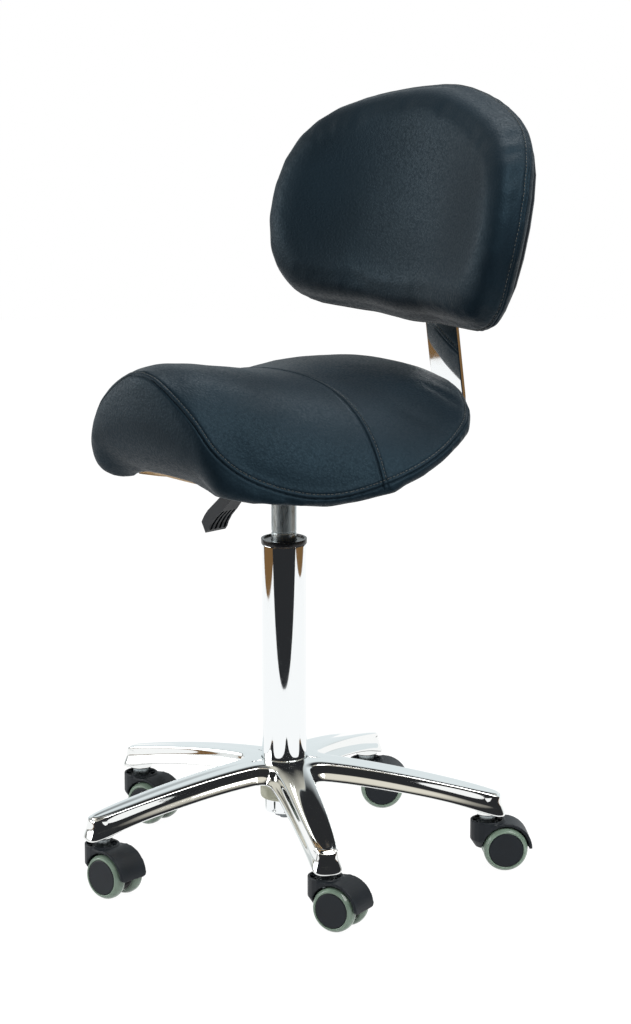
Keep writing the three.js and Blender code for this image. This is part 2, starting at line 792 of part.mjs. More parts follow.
// The paddle lies along +X in its own frame, widens to its tip, and is turned down to its slope.
function leverPaddle() {
  const side = (shares) => shapeFrom(shares.map(([along, up]) => [along * paddleLength, up * paddleDepth]));
  const start = paddleFanShare * paddleLength;
  const plan = shapeFrom([
    [0, -paddleRootHalfWidth], [start, -paddleRootHalfWidth], [paddleLength, -paddleTipHalfWidth],
    [paddleLength, paddleTipHalfWidth], [start, paddleRootHalfWidth], [0, paddleRootHalfWidth],
  ]);
  const fan = toSolid(new THREE.ExtrudeGeometry(plan, { depth: 2 * paddleDepth, bevelEnabled: false }));
  const outline = side([...paddleTopShares, ...paddleUndersideShares]);
  let paddle = extrudeAcross(outline, 2 * paddleTipHalfWidth).intersect(fan.translate([0, 0, -paddleDepth]));
  const fanAngle = Math.atan2(paddleTipHalfWidth - paddleRootHalfWidth, paddleLength - start) * 180 / Math.PI;
  const pockets = paddleRibs + 1;
  const pitch = 2 * (paddleRootHalfWidth - paddleRib / 2) / pockets;
  for (let i = 0; i < pockets; i++) {
    const step = i - paddleRibs / 2;
    const turn = fanAngle * 2 * step / pockets;
    const pocket = extrudeAcross(side(pocketShares), pitch - paddleRib / 2).translate([-start, 0, 0]);
    paddle = paddle.subtract(pocket.rotate([0, 0, turn]).translate([start, step * pitch, 0]));
  }
  const half = [leverWidth / 2 + play, leverThickness / 2 + play];
  const slot = block([-overrun, leverTongue + play], [-half[0], half[0]], [-half[1], half[1]]);
  return paddle.subtract(slot).scale([-1, 1, 1]).rotate([0, -paddleSlope, 0])
    .translate([leverEntryX, 0, leverEntryZ]);
}

// Backrest bar and its guide

// Centre line of the bar in Y and Z: level leg, bend, riser, bend back and a leg along the pad's back
function barPath() {
  const slope = Math.tan(radians(backrestTilt));
  const lean = Math.tan(radians(barLean));
  const upperY = (z) => backrestY + barStandOff() / Math.cos(radians(backrestTilt)) + (z - backrestZ) * slope;
  const kneeRise = (barRiserY - upperY(barHeight)) / (slope + lean);
  const start = new THREE.Vector2(barFront, barHeight);
  const foot = new THREE.Vector2(barRiserY, barHeight);
  const knee = new THREE.Vector2(barRiserY - kneeRise * lean, barHeight + kneeRise);
  const end = new THREE.Vector2(upperY(barTopZ), barTopZ);
  const lowerBend = filletPoints(start, foot, knee, barBend, 8);
  const upperBend = filletPoints(foot, knee, end, barUpperBend, 4);
  return [start, ...lowerBend, ...upperBend, end];
}

// Points of an arc that rounds the corner between two straight runs
function filletPoints(before, corner, after, radius, steps) {
  const into = corner.clone().sub(before).normalize();
  const away = after.clone().sub(corner).normalize();
  const turn = Math.acos(THREE.MathUtils.clamp(into.dot(away), -1, 1));
  const side = Math.sign(into.cross(away));
  const start = corner.clone().addScaledVector(into, -radius * Math.tan(turn / 2));
  const centre = start.clone().add(new THREE.Vector2(-into.y, into.x).multiplyScalar(side * radius));
  const angles = Array.from({ length: steps + 1 }, (_, i) => side * turn * i / steps);
  return angles.map((angle) => start.clone().rotateAround(centre, angle));
}

// The outline of a strip of even thickness along a path
function stripShape(path, thickness) {
  const half = thickness / 2;
  return new THREE.Shape([...offsetPath(path, half), ...offsetPath(path, -half).reverse()]);
}

function offsetPath(path, distance) {
  const normals = path.slice(1).map((p, i) => {
    const along = p.clone().sub(path[i]).normalize();
    return new THREE.Vector2(-along.y, along.x);
  });
  return path.map((p, i) => {
    const before = normals[Math.max(0, i - 1)];
    const after = normals[Math.min(normals.length - 1, i)];
    const mitre = distance / (1 + before.dot(after));
    return p.clone().addScaledVector(before, mitre).addScaledVector(after, mitre);
  });
}

function backrestBar() {
  const strip = extrudeAcross(stripShape(barPath(), barThickness), barWidth);
  return strip.rotate([0, 0, 90]);
}

// The sleeve on the plate's tail that the bar slides in, with the hole for the knob's stud
function withBarGuide(plate, top) {
  const [wide, tall] = [barWidth / 2 + runningPlay, barThickness / 2 + runningPlay];
  const low = barHeight - tall - guideWall;
  const outer = wide + guideWall;
  const tail = [-outer - guideFlange, outer + guideFlange];
  const sleeve = block([-outer, outer], [guideStart, guideEnd], [low, top]);
  const flange = block(tail, [plateHalfY - overrun, guideEnd], [top - plateThickness, top]);
  const through = [guideStart - overrun, guideEnd + overrun];
  const way = block([-wide, wide], through, [barHeight - tall, barHeight + tall]);
  const stud = rod(knobStudRadius + play, low - overrun, barHeight, 16).translate([0, guideMiddle(), 0]);
  return plate.add(sleeve).add(flange).subtract(way).subtract(stud);
}

function guideMiddle() {
  return (guideStart + guideEnd) / 2;
}

// A lobed knob and its stud. Its frame has the clamped face at Z = 0 and the knob below it.
function handKnob(wall) {
  const shape = new THREE.Shape();
  const steps = 6 * knobLobes;
  for (let i = 0; i < steps; i++) {
    const angle = i * 2 * Math.PI / steps;
    const radius = knobRadius - knobLobeDepth * (1 + Math.cos(knobLobes * angle)) / 2;
    shape[i === 0 ? 'moveTo' : 'lineTo'](radius * Math.cos(angle), radius * Math.sin(angle));
  }
  const headTop = -wall - knobStandOff;
  const head = toSolid(new THREE.ExtrudeGeometry(shape, { depth: knobHeight, bevelEnabled: false }));
  const collar = rod(2 * knobStudRadius, headTop - overrun, -wall - play, 20);
  const stud = rod(knobStudRadius, headTop - overrun, -play, 16);
  return head.translate([0, 0, headTop - knobHeight]).add(collar).add(stud);
}

// Backrest, in its own frame: X across, Y to the back, Z up the pad

function padRing(share, depth, dish) {
  const half = backrestOutline.map(([x, z]) => new THREE.Vector3(x, 0, z));
  const centre = new THREE.Vector3(0, 0, (backrestOutline[0][1] + backrestOutline.at(-1)[1]) / 2);
  return smoothRing(mirrorOutline(half), 2).map((p) => {
    const at = centre.clone().lerp(p, share);
    at.y = -depth + dish - padSweep(at.x);
    return at;
  });
}

function padSweep(x) {
  return padCurveRadius - Math.sqrt(padCurveRadius ** 2 - x * x);
}

function backrestCushion() {
  const backShare = 1 - padBackInset / backrestOutline[5][0];
  const rise = padDepth - padBandDepth;
  const face = faceShares.map(([share, height, dish]) => {
    return padRing(share, padBandDepth + rise * height, padDish * dish);
  });
  const middle = padRing(1, padBandDepth / 2, 0);
  const back = padRing(backShare, 0, 0);
  const seat = shellShares.map((share) => padRing(share, 0, 0)).reverse();
  return loft([...face, middle, back, ...seat]);
}

// Distance from the cushion's back face to the middle of the bar's upper leg
function barStandOff() {
  return play + shellThickness + sleeveWall + runningPlay + barThickness / 2;
}

// The moulded shell behind the cushion, with the sleeve that rides on the bar
function backrestShell() {
  const front = shellShares.map((share) => padRing(share, -play, 0)).reverse();
  const edge = padRing(shellShares.at(-1), -play - shellThickness / 2, 0);
  const rear = shellShares.map((share) => padRing(share * shellRearShare, -play - shellThickness, 0));
  const middle = barStandOff();
  const [wide, deep] = [barWidth / 2 + runningPlay, barThickness / 2 + runningPlay];
  const [low, high] = [sleeveCentre - sleeveHalfLength, sleeveCentre + sleeveHalfLength];
  const [inside, outside] = [play + shellThickness / 2, middle + deep + sleeveWall];
  const sleeve = block([-wide - sleeveWall, wide + sleeveWall], [inside, outside], [low, high]);
  const way = block([-wide, wide], [middle - deep, middle + deep], [low - overrun, high + overrun]);
  const stud = rod(knobStudRadius + play, -sleeveWall - overrun, overrun, 16);
  const hole = stud.rotate([90, 0, 0]).translate([0, middle + deep, sleeveCentre]);
  return loft([...rear, edge, ...front]).add(sleeve).subtract(way).subtract(hole);
}

// Assembly

addPiece(stool, 'star_base', starBase(), materials.chrome);
addPiece(stool, 'column_tube', columnTube(), materials.chrome);
addPiece(stool, 'guide_sleeve', guideSleeve(), materials.plastic);
addPiece(stool, 'thrust_bearing', thrustBearing(), materials.steel);
addPiece(stool, 'retaining_clip', retainingClip(), materials.steel);
addPiece(stool, 'piston_rod', pistonRod(), materials.steel);
addPiece(stool, 'gas_cylinder', gasSpring(), materials.zinc);
addPiece(stool, 'release_pin', releasePin(), materials.steel);
for (let number = 1; number <= armCount; number++) addCaster(number);

addPiece(stool, 'seat_cushion', seatCushion(), materials.leatherette);
addPiece(stool, 'seat_board', seatBoard(), materials.plywood);
addPiece(stool, 'seat_plate', seatPlate(), materials.steel);
screwPlaces().forEach((place, i) => addPiece(stool, `seat_screw_${i + 1}`, seatScrew(place), materials.zinc));
addPiece(stool, 'lever_rod', leverRod(), materials.steel);
addPiece(stool, 'lever_paddle', leverPaddle(), materials.plastic);

addPiece(stool, 'backrest_bar', backrestBar(), materials.chrome);
const depthKnob = addPiece(stool, 'depth_knob', handKnob(guideWall + runningPlay), materials.plastic);
depthKnob.position.set(0, guideMiddle(), barHeight - barThickness / 2);

const backrest = new THREE.Group();
backrest.position.set(0, backrestY, backrestZ);
backrest.rotation.x = -radians(backrestTilt);
stool.add(backrest);
addPiece(backrest, 'backrest_cushion', backrestCushion(), materials.leatherette);
addPiece(backrest, 'backrest_shell', backrestShell(), materials.plastic);
const heightKnob = addPiece(backrest, 'height_knob', handKnob(sleeveWall + runningPlay), materials.plastic);
heightKnob.position.set(0, barStandOff() + barThickness / 2, sleeveCentre);
heightKnob.rotation.x = Math.PI / 2;

export default stool;
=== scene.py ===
# %% [markdown]
# # A saddle stool with a backrest
# This lesson dresses a finished CAD model as a photograph shows it. The CAD model stays where it is and
# is called the frame. Hard pieces whose CAD shape is right only get a finish. Soft pieces, polished
# castings and everything with a rounded form are modelled again over the frame and take its place.

import json
import math

import bmesh
import bpy
from mathutils import Matrix, Vector
from mathutils.bvhtree import BVHTree
from mathutils.kdtree import KDTree


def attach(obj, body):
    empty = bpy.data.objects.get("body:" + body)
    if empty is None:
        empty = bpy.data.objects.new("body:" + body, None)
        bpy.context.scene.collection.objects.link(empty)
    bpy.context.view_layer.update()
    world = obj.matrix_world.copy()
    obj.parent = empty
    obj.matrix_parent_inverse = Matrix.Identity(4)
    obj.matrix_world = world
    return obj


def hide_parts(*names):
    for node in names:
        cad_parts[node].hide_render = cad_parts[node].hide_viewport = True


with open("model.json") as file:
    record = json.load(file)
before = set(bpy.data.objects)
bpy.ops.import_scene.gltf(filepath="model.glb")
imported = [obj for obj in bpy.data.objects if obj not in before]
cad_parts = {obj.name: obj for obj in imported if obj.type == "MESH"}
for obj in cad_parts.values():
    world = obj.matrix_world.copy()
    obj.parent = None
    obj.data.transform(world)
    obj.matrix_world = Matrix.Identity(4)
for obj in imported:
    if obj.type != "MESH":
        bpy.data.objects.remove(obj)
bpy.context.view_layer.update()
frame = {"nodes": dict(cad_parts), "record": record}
nodes = frame["nodes"]

# %% [markdown]
# All sizes are in metres. Writing millimetres is easier for a product of this size, so one name stands
# for a millimetre and every size is a number of them.

# %% Units and small helpers
MM = 0.001
X_AXIS, Y_AXIS, Z_AXIS = Vector((1, 0, 0)), Vector((0, 1, 0)), Vector((0, 0, 1))


def millimetres(*values):
    return Vector(values) * MM


def new_piece(name, mesh_source, body, material):
    """Turns a bmesh into a piece of the stool that rides on a body of the frame."""
    mesh = bpy.data.meshes.new(name)
    mesh_source.to_mesh(mesh)
    mesh_source.free()
    mesh.shade_smooth()
    piece = bpy.data.objects.new(name, mesh)
    bpy.context.scene.collection.objects.link(piece)
    mesh.materials.append(material)
    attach(piece, body)
    return piece


def add_subdivision(piece, levels):
    finer = piece.modifiers.new("finer", "SUBSURF")
    finer.levels = finer.render_levels = levels
    return piece


def apply_modifiers(piece):
    """Replaces the piece's mesh by what its modifiers make of it."""
    bpy.context.view_layer.update()
    evaluated = piece.evaluated_get(bpy.context.evaluated_depsgraph_get())
    made = bpy.data.meshes.new_from_object(evaluated)
    piece.modifiers.clear()
    old = piece.data
    piece.data = made
    bpy.data.meshes.remove(old)
    return piece


# %% [markdown]
# ## The studio
# The photograph is a cut-out on white. The camera stands 4.05 m from the column, 1.34 m up, and looks
# down at 13 degrees. Its place was worked out from the five stems, the wheels and the column, which have
# known sizes.

# %% Camera
IMAGE_HEIGHT_PX = 1024
FOCAL_PX = 3748
SENSOR = 36
camera_turn, camera_distance, camera_height = math.radians(48), 4.05, 1.336
camera_pitch, camera_yaw = math.radians(12.968), math.radians(0.495)

right = Vector((math.cos(camera_turn), math.sin(camera_turn), 0))
away = Vector((-math.sin(camera_turn), math.cos(camera_turn), 0))
camera_data = bpy.data.cameras.new("camera")
camera_data.sensor_width = SENSOR
camera_data.lens = FOCAL_PX * SENSOR / IMAGE_HEIGHT_PX
camera = bpy.data.objects.new("camera", camera_data)
bpy.context.scene.collection.objects.link(camera)
bpy.context.scene.camera = camera
level = right * math.sin(camera_yaw) + away * math.cos(camera_yaw)
gaze = level * math.cos(camera_pitch) - Z_AXIS * math.sin(camera_pitch)
camera.location = -away * camera_distance + Z_AXIS * camera_height
camera.rotation_mode = "QUATERNION"
camera.rotation_quaternion = gaze.to_track_quat("-Z", "Y")
print("lens", round(camera_data.lens, 1), "mm")

# %% [markdown]
# A material is a small network of nodes. One function adds any node, sets its options and connects its
# inputs, so that each material below reads as a list of what feeds what. Colours are written as sRGB hex,
# as a painter's chart gives them, and one function turns them into the linear values that the renderer
# wants.

# %% Helpers for materials


def colour(code):
    """sRGB hex to linear RGBA."""
    shares = [int(code[i:i + 2], 16) / 255 for i in (1, 3, 5)]
    linear = [s / 12.92 if s <= 0.04045 else ((s + 0.055) / 1.055) ** 2.4 for s in shares]
    return (*linear, 1)


def add_node(tree, kind, inputs=(), **options):
    """Adds a node; an input is given a value or the output that feeds it."""
    made = tree.nodes.new("ShaderNode" + kind)
    for name, value in options.items():
        setattr(made, name, value)
    for name, value in dict(inputs).items():
        if isinstance(value, bpy.types.NodeSocket):
            tree.links.new(value, made.inputs[name])
        else:
            made.inputs[name].default_value = value
    return made


def new_material(name, settings):
    """A material with a Principled shader, and that shader's node."""
    material = bpy.data.materials.new(name)
    material.use_nodes = True
    shader = material.node_tree.nodes["Principled BSDF"]
    for key, value in settings.items():
        shader.inputs[key].default_value = value
    return material, shader


def ramp(tree, factor, stops):
    """A colour ramp from (place, colour) stops."""
    made = add_node(tree, "ValToRGB", {"Fac": factor})
    elements = made.color_ramp.elements
    while len(elements) < len(stops):
        elements.new(0.5)
    for element, (place, value) in zip(elements, stops):
        element.position = place
        element.color = value
    return made.outputs["Color"]


def coat_surface(tree, shader, base=None, roughness=None, bump=None):
    """Connects what varies over a surface to the shader's sockets."""
    for name, value in (("Base Color", base), ("Roughness", roughness), ("Normal", bump)):
        if value is not None:
            tree.links.new(value, shader.inputs[name])


def object_place(tree, scale=(1, 1, 1)):
    place = add_node(tree, "TexCoord").outputs["Object"]
    return add_node(tree, "Mapping", {"Vector": place, "Scale": scale}).outputs["Vector"]


def noise(tree, place, size_mm, detail):
    """A noise pattern whose lumps are about this many millimetres wide."""
    return add_node(tree, "TexNoise", {"Vector": place, "Scale": 1 / (size_mm * MM),
                                       "Detail": detail}).outputs["Fac"]


def spread(tree, value, to_low, to_high, from_low=0, from_high=1):
    """Stretches a value from one range to another."""
    return add_node(tree, "MapRange", {"Value": value, "From Min": from_low, "From Max": from_high,
                                       "To Min": to_low, "To Max": to_high}).outputs["Result"]


def relief(tree, height, strength, height_mm, **options):
    """A bump that is this many millimetres high at full strength."""
    return add_node(tree, "Bump", {"Height": height, "Strength": strength, "Distance": height_mm * MM},
                    **options).outputs["Normal"]


# %% [markdown]
# ## Finishes
# The stool has two metals that mirror the studio: the steel tube and bar are chrome plated, and the star
# base is cast aluminium, ground and polished. Polishing leaves a faint waviness, which a large noise
# pattern gives as a very low bump. Fine wiping marks vary the roughness.

# %% Chrome and polished aluminium


def mirror_metal(name, tint, roughness, wave_mm, wave_height_mm):
    material, shader = new_material(name, {"Metallic": 1.0, "Base Color": colour(tint)})
    tree = material.node_tree
    place = object_place(tree)
    wave, wiping = noise(tree, place, wave_mm, 1.0), noise(tree, place, 9, 4.0)
    rough = spread(tree, wiping, roughness * 0.7, roughness * 1.4, 0.3, 0.7)
    coat_surface(tree, shader, roughness=rough, bump=relief(tree, wave, 1.0, wave_height_mm))
    return material


chrome_plate = mirror_metal("chrome_plated_steel", "#eef1f2", 0.035, 60, 0.05)
polished_aluminium = mirror_metal("polished_cast_aluminium", "#eceeed", 0.05, 35, 0.12)

# %% [markdown]
# The gas spring is zinc plated: a grey, satin metal, drawn lengthwise. The hidden brackets and axles are
# plain rolled steel.

# %% Zinc and plain steel


def satin_metal(name, light, dark, roughness, streaks):
    material, shader = new_material(name, {"Metallic": 1.0})
    tree = material.node_tree
    grain = noise(tree, object_place(tree, streaks), 2, 5.0)
    base = ramp(tree, grain, [(0.3, colour(dark)), (0.7, colour(light))])
    rough = spread(tree, grain, roughness - 0.08, roughness + 0.08)
    coat_surface(tree, shader, base, rough, relief(tree, grain, 0.3, 0.05))
    return material


zinc_plate = satin_metal("zinc_plated_steel", "#b9c2c4", "#9ba5a8", 0.3, (1, 1, 0.15))
rolled_steel = satin_metal("rolled_steel", "#8a8f92", "#6b7073", 0.42, (1, 0.2, 1))

# %% [markdown]
# The black mouldings are glass-filled nylon with a fine spark-eroded texture, which makes the highlights
# broad. The tread is polyurethane, cast glossy in sage green.

# %% Moulded plastics


def moulded_plastic(name, tone, gloss, roughness, grain_mm, grain_height_mm):
    material, shader = new_material(name, {"Specular IOR Level": gloss})
    tree = material.node_tree
    place = object_place(tree)
    grain, patch = noise(tree, place, grain_mm, 3.0), noise(tree, place, 18, 2.0)
    red, green, blue, _ = colour(tone)
    darker = (red * 0.82, green * 0.82, blue * 0.82, 1)
    base = ramp(tree, patch, [(0.35, darker), (0.65, colour(tone))])
    rough = spread(tree, patch, roughness - 0.05, roughness + 0.05)
    coat_surface(tree, shader, base, rough, relief(tree, grain, 0.5, grain_height_mm))
    return material


black_nylon = moulded_plastic("glass_filled_nylon", "#151b21", 0.25, 0.48, 0.9, 0.08)
black_acetal = moulded_plastic("turned_acetal", "#0c0f12", 0.5, 0.24, 2.5, 0.02)
sage_polyurethane = moulded_plastic("cast_polyurethane", "#718475", 0.5, 0.16, 2.5, 0.02)

# %% [markdown]
# The cover is leatherette: a polyurethane film on a knitted backing, embossed with small round pebbles.
# The pebbles measure about 1.3 mm; they are drawn at 2.4 mm here, so that they show at the picture's
# size. The valleys between them are a little duller than their tops. The film is nearly black, and what
# light it throws back is tinted blue.

# %% Leatherette and thread


def leatherette_cover():
    material, shader = new_material("embossed_leatherette",
                                    {"Specular IOR Level": 0.27, "Specular Tint": colour("#8fb9cf")})
    tree = material.node_tree
    place = object_place(tree)
    drift = add_node(tree, "TexNoise", {"Vector": place, "Scale": 1 / (4 * MM), "Detail": 2.0})
    moved = add_node(tree, "Mix", {"Factor": 0.0012, "A": place, "B": drift.outputs["Color"]},
                     data_type="VECTOR")
    pebble = add_node(tree, "TexVoronoi", {"Vector": moved.outputs["Result"], "Scale": 1 / (2.4 * MM)},
                      feature="SMOOTH_F1")
    crease, broad = noise(tree, place, 14, 4.0), noise(tree, place, 90, 1.0)
    base = ramp(tree, broad, [(0.3, colour("#0d161d")), (0.7, colour("#121d25"))])
    rough = spread(tree, pebble.outputs["Distance"], 0.42, 0.62, from_high=0.7)
    grain = relief(tree, pebble.outputs["Distance"], 0.8, 0.3, invert=True)
    soft = add_node(tree, "Bump", {"Height": crease, "Strength": 0.35, "Distance": 0.5 * MM, "Normal": grain})
    coat_surface(tree, shader, base, rough, soft.outputs["Normal"])
    return material


def sewing_thread():
    material, shader = new_material("polyester_thread", {"Sheen Weight": 0.2})
    tree = material.node_tree
    twist = add_node(tree, "TexWave", {"Vector": object_place(tree), "Scale": 1 / (1.2 * MM),
                                       "Distortion": 2.0})
    base = ramp(tree, twist.outputs["Fac"], [(0.2, colour("#25282a")), (0.8, colour("#45463f"))])
    coat_surface(tree, shader, base, spread(tree, twist.outputs["Fac"], 0.5, 0.75))
    return material


leatherette = leatherette_cover()
thread = sewing_thread()

# %% [markdown]
# The seat board is moulded plywood. It hardly shows, but a look from below finds it, so it has its long
# grain and the lines of its plies.

# %% Plywood


def birch_plywood():
    material, shader = new_material("birch_plywood", {"Specular IOR Level": 0.4})
    tree = material.node_tree
    fibre = noise(tree, object_place(tree, (1, 0.06, 1)), 3, 6.0)
    plies = add_node(tree, "TexWave", {"Vector": object_place(tree), "Scale": 1 / (9.6 * MM),
                                       "Distortion": 0.4}, bands_direction="Z")
    grain = ramp(tree, fibre, [(0.3, colour("#9a774a")), (0.7, colour("#c2a274"))])
    tint = spread(tree, plies.outputs["Fac"], 0.72, 1.0)
    base = add_node(tree, "Mix", {"Factor": 1.0, "A": grain, "B": tint},
                    data_type="RGBA", blend_type="MULTIPLY")
    coat_surface(tree, shader, base.outputs["Result"], spread(tree, fibre, 0.55, 0.75),
                 relief(tree, fibre, 0.4, 0.1))
    return material


plywood = birch_plywood()
finish_of_slot = {
    "chrome": chrome_plate, "zinc": zinc_plate, "steel": rolled_steel, "plastic": black_nylon,
    "tread": sage_polyurethane, "plywood": plywood, "leatherette": leatherette,
}
slot_of_node = {part["node"]: part["material_slot"] for part in frame["record"]["subparts"]}
for name, piece in nodes.items():
    piece.data.materials.clear()
    piece.data.materials.append(finish_of_slot[slot_of_node[name]])
print("finishes:", sorted(m.name for m in bpy.data.materials if m.users))

# %% [markdown]
# ## Padded pieces
# The seat and the backrest are moulded foam under a sewn cover. The CAD solid gives their shape in flat
# facets. A copy of it is remeshed into even squares and smoothed. Blender's cloth solver then puts a
# little pressure inside: the seams are held, as the real thread holds them, and the panels between them
# round out. The same could be sculpted by hand, but a simulated cover follows any change of size.

# %% Even faces over the CAD shape


def padded_copy(node, name, body, voxel):
    """A merged copy of a CAD node's mesh, remeshed into even squares."""
    source = bmesh.new()
    source.from_mesh(nodes[node].data)
    bmesh.ops.remove_doubles(source, verts=source.verts, dist=0.02 * MM)
    piece = new_piece(name, source, body, leatherette)
    even = piece.modifiers.new("even", "REMESH")
    even.mode, even.voxel_size = "VOXEL", voxel
    apply_modifiers(piece)
    print(name, "has", len(piece.data.polygons), "even faces")
    return piece


# %% [markdown]
# A seam is a path on the surface. Each of its points knows three directions: along the seam, out of the
# surface, and across, towards the panel that carries the topstitching. They let a vertex near the seam
# ask how far to which side it lies.

# %% Paths on a surface
SEAM_STEP = 1.5 * MM
PATH_SMOOTHING, AHEAD_REACH, NORMAL_REACH = 5, 3, 8  # how many places to either side are averaged


def even_path(points, step):
    """The same path with points an even step apart."""
    lengths = [0.0]
    for before, after in zip(points, points[1:]):
        lengths.append(lengths[-1] + (after - before).length)
    count = max(2, round(lengths[-1] / step))
    path, i = [], 0
    for k in range(count + 1):
        wanted = lengths[-1] * k / count
        while i < len(points) - 2 and lengths[i + 1] < wanted:
            i += 1
        share = (wanted - lengths[i]) / max(lengths[i + 1] - lengths[i], 1e-9)
        path.append(points[i].lerp(points[i + 1], min(share, 1.0)))
    return path


def curve_through(points, closed, steps=12):
    """A centripetal Catmull-Rom curve through the points, as the CAD seams are."""
    count = len(points)

    def point(k):
        return points[k % count] if closed else points[min(max(k, 0), count - 1)]

    path = []
    for i in range(count if closed else count - 1):
        a, b, c, d = (point(i + k) for k in (-1, 0, 1, 2))
        before, span, after = (max((q - p).length, 1e-6) ** 0.5 for p, q in ((a, b), (b, c), (c, d)))
        if (b - a).length < 1e-6:
            before = span
        if (d - c).length < 1e-6:
            after = span
        leave = ((b - a) / before - (c - a) / (before + span) + (c - b) / span) * span
        arrive = ((c - b) / span - (d - b) / (span + after) + (d - c) / after) * span
        for k in range(steps):
            t = k / steps
            path.append(b + leave * t + (3 * (c - b) - 2 * leave - arrive) * t * t
                        + (leave + arrive - 2 * (c - b)) * t * t * t)
    path.append(points[0] if closed else points[-1])
    return path


def surface_tree(piece):
    mesh = piece.data
    return BVHTree.FromPolygons([v.co for v in mesh.vertices], [p.vertices for p in mesh.polygons])


# %% [markdown]
# A path is dropped onto the surface, and its places and normals are averaged over their neighbours, so that
# a seam runs straight over the small steps of the mesh. A tree of its places finds the nearest one fast.

# %% Seams on a surface


def place_index(points):
    """An index that finds the nearest of these points."""
    index = KDTree(len(points))
    for number, point in enumerate(points):
        index.insert(point, number)
    index.balance()
    return index


def lay_seam(tree, points, closed, towards):
    """Frames along a path on the surface: place, direction along, normal, and across towards a side."""
    path = [tree.find_nearest(p)[:2] for p in even_path(points, SEAM_STEP)]
    count = len(path) - 1
    frames = []

    def nearby(i, reach):
        places = range(i - reach, i + reach + 1)
        return [path[k % count if closed else min(max(k, 0), count)] for k in places]

    for i in range(count if closed else count + 1):
        averaged = nearby(i, PATH_SMOOTHING if closed else min(PATH_SMOOTHING, i, count - i))
        place = sum((p for p, _ in averaged), Vector()) / len(averaged)
        close = nearby(i, AHEAD_REACH)
        ahead = close[-1][0] - close[0][0]
        normal = sum((n for _, n in nearby(i, NORMAL_REACH)), Vector()).normalized()
        along = (ahead - normal * ahead.dot(normal)).normalized()
        across = normal.cross(along)
        if across.dot(towards(place)) < 0:
            across = -across
        frames.append((place, along, normal, across))
    return frames


def seam_index(frames):
    return place_index([place for place, _, _, _ in frames])


def seam_offset(frames, index, co):
    """How far a point is from the nearest place of a seam, and how much of that is along and across it."""
    place, number, distance = index.find(co)
    _, along, _, across = frames[number]
    offset = co - place
    return distance, offset.dot(along), offset.dot(across)


# %% [markdown]
# The simulation runs 20 frames without gravity. Held points don't move, and no other point moves further
# than a cap. The smoothing before it takes the facets off.

# %% Smooth and swell


def relax(source, verts, factors):
    """Moves each point towards the middle of its neighbours by a factor, once for each factor."""
    for factor in factors:
        bmesh.ops.smooth_vert(source, verts=verts, factor=factor,
                              use_axis_x=True, use_axis_y=True, use_axis_z=True)


def relax_piece(piece, wanted, factors):
    source = bmesh.new()
    source.from_mesh(piece.data)
    relax(source, [v for v in source.verts if wanted(v.index)], factors)
    source.to_mesh(piece.data)
    source.free()


def smooth_free(piece, held, times):
    """Smooths, and after each pass pushes back out by nearly as much, so that nothing shrinks."""
    relax_piece(piece, lambda number: number not in held, (0.5, -0.52) * times)


def melt(piece, chosen, times):
    """Plain smoothing of the chosen points, which takes out the broad steps of the CAD shape."""
    relax_piece(piece, lambda number: number in chosen, (0.5,) * times)


def smooth_step(value, low, high):
    share = min(max((value - low) / (high - low), 0.0), 1.0)
    return share * share * (3 - 2 * share)


# %% [markdown]
# Inside the cover the foam pushes outwards and the thread holds. The solver is given the same: a pressure,
# and a group of points that do not move.

# %% Swell under pressure
SWELL_FRAMES = 20
SWELL_PRESSURE = 4.0


def swell(piece, held, freedom, smaller, cap):
    """Takes the shape in, and lets the pressure inside round its panels out, by no more than the cap.

    Freedom gives each point's share of both, from none at a seam to all of it in a panel.
    """
    normals = [v.normal.copy() for v in piece.data.vertices]
    for vertex, normal, share in zip(piece.data.vertices, normals, freedom):
        vertex.co -= normal * smaller * share
    rest = [v.co.copy() for v in piece.data.vertices]
    group = piece.vertex_groups.new(name="held")
    group.add(sorted(held), 1.0, "REPLACE")
    cloth = piece.modifiers.new("swell", "CLOTH")
    cloth.settings.vertex_group_mass = "held"
    cloth.settings.use_pressure = True
    cloth.settings.uniform_pressure_force = SWELL_PRESSURE
    cloth.settings.effector_weights.gravity = 0
    cloth.point_cache.frame_start, cloth.point_cache.frame_end = 1, SWELL_FRAMES
    for number in range(1, SWELL_FRAMES + 1):
        bpy.context.scene.frame_set(number)
    evaluated = piece.evaluated_get(bpy.context.evaluated_depsgraph_get())
    moves = [v.co - start for v, start in zip(evaluated.data.vertices, rest)]
    piece.modifiers.clear()
    piece.vertex_groups.clear()
    for vertex, start, move, share in zip(piece.data.vertices, rest, moves, freedom):
        vertex.co = start + move * share * min(1.0, cap / max(move.length, 1e-9))
    bpy.context.scene.frame_set(1)
    grown = sorted(m.length / MM for m, share in zip(moves, freedom) if share > 0.5)
    places = (0.1, 0.5, 0.9, 0.99)
    print(piece.name, "panels swell by", [round(grown[int(len(grown) * q)], 1) for q in places], "mm, cap",
          cap / MM)


def round_out(piece, held, sewn, freedom, smaller, cap):
    """Swells the panels, and divides the faces once more for the seams."""
    swell(piece, sewn, freedom, smaller, cap)
    smooth_free(piece, held, 4)
    apply_modifiers(add_subdivision(piece, 1))


# %% [markdown]
# Sewing two panels together leaves a groove between them. Beside it the folded edge under the panel makes
# a flat welt about 4 mm wide, and the topstitching draws the cover in again behind that. The faces near a
# seam are divided first, then moved along the surface's normal by the seam's cross-section, a sum of
# smooth humps.

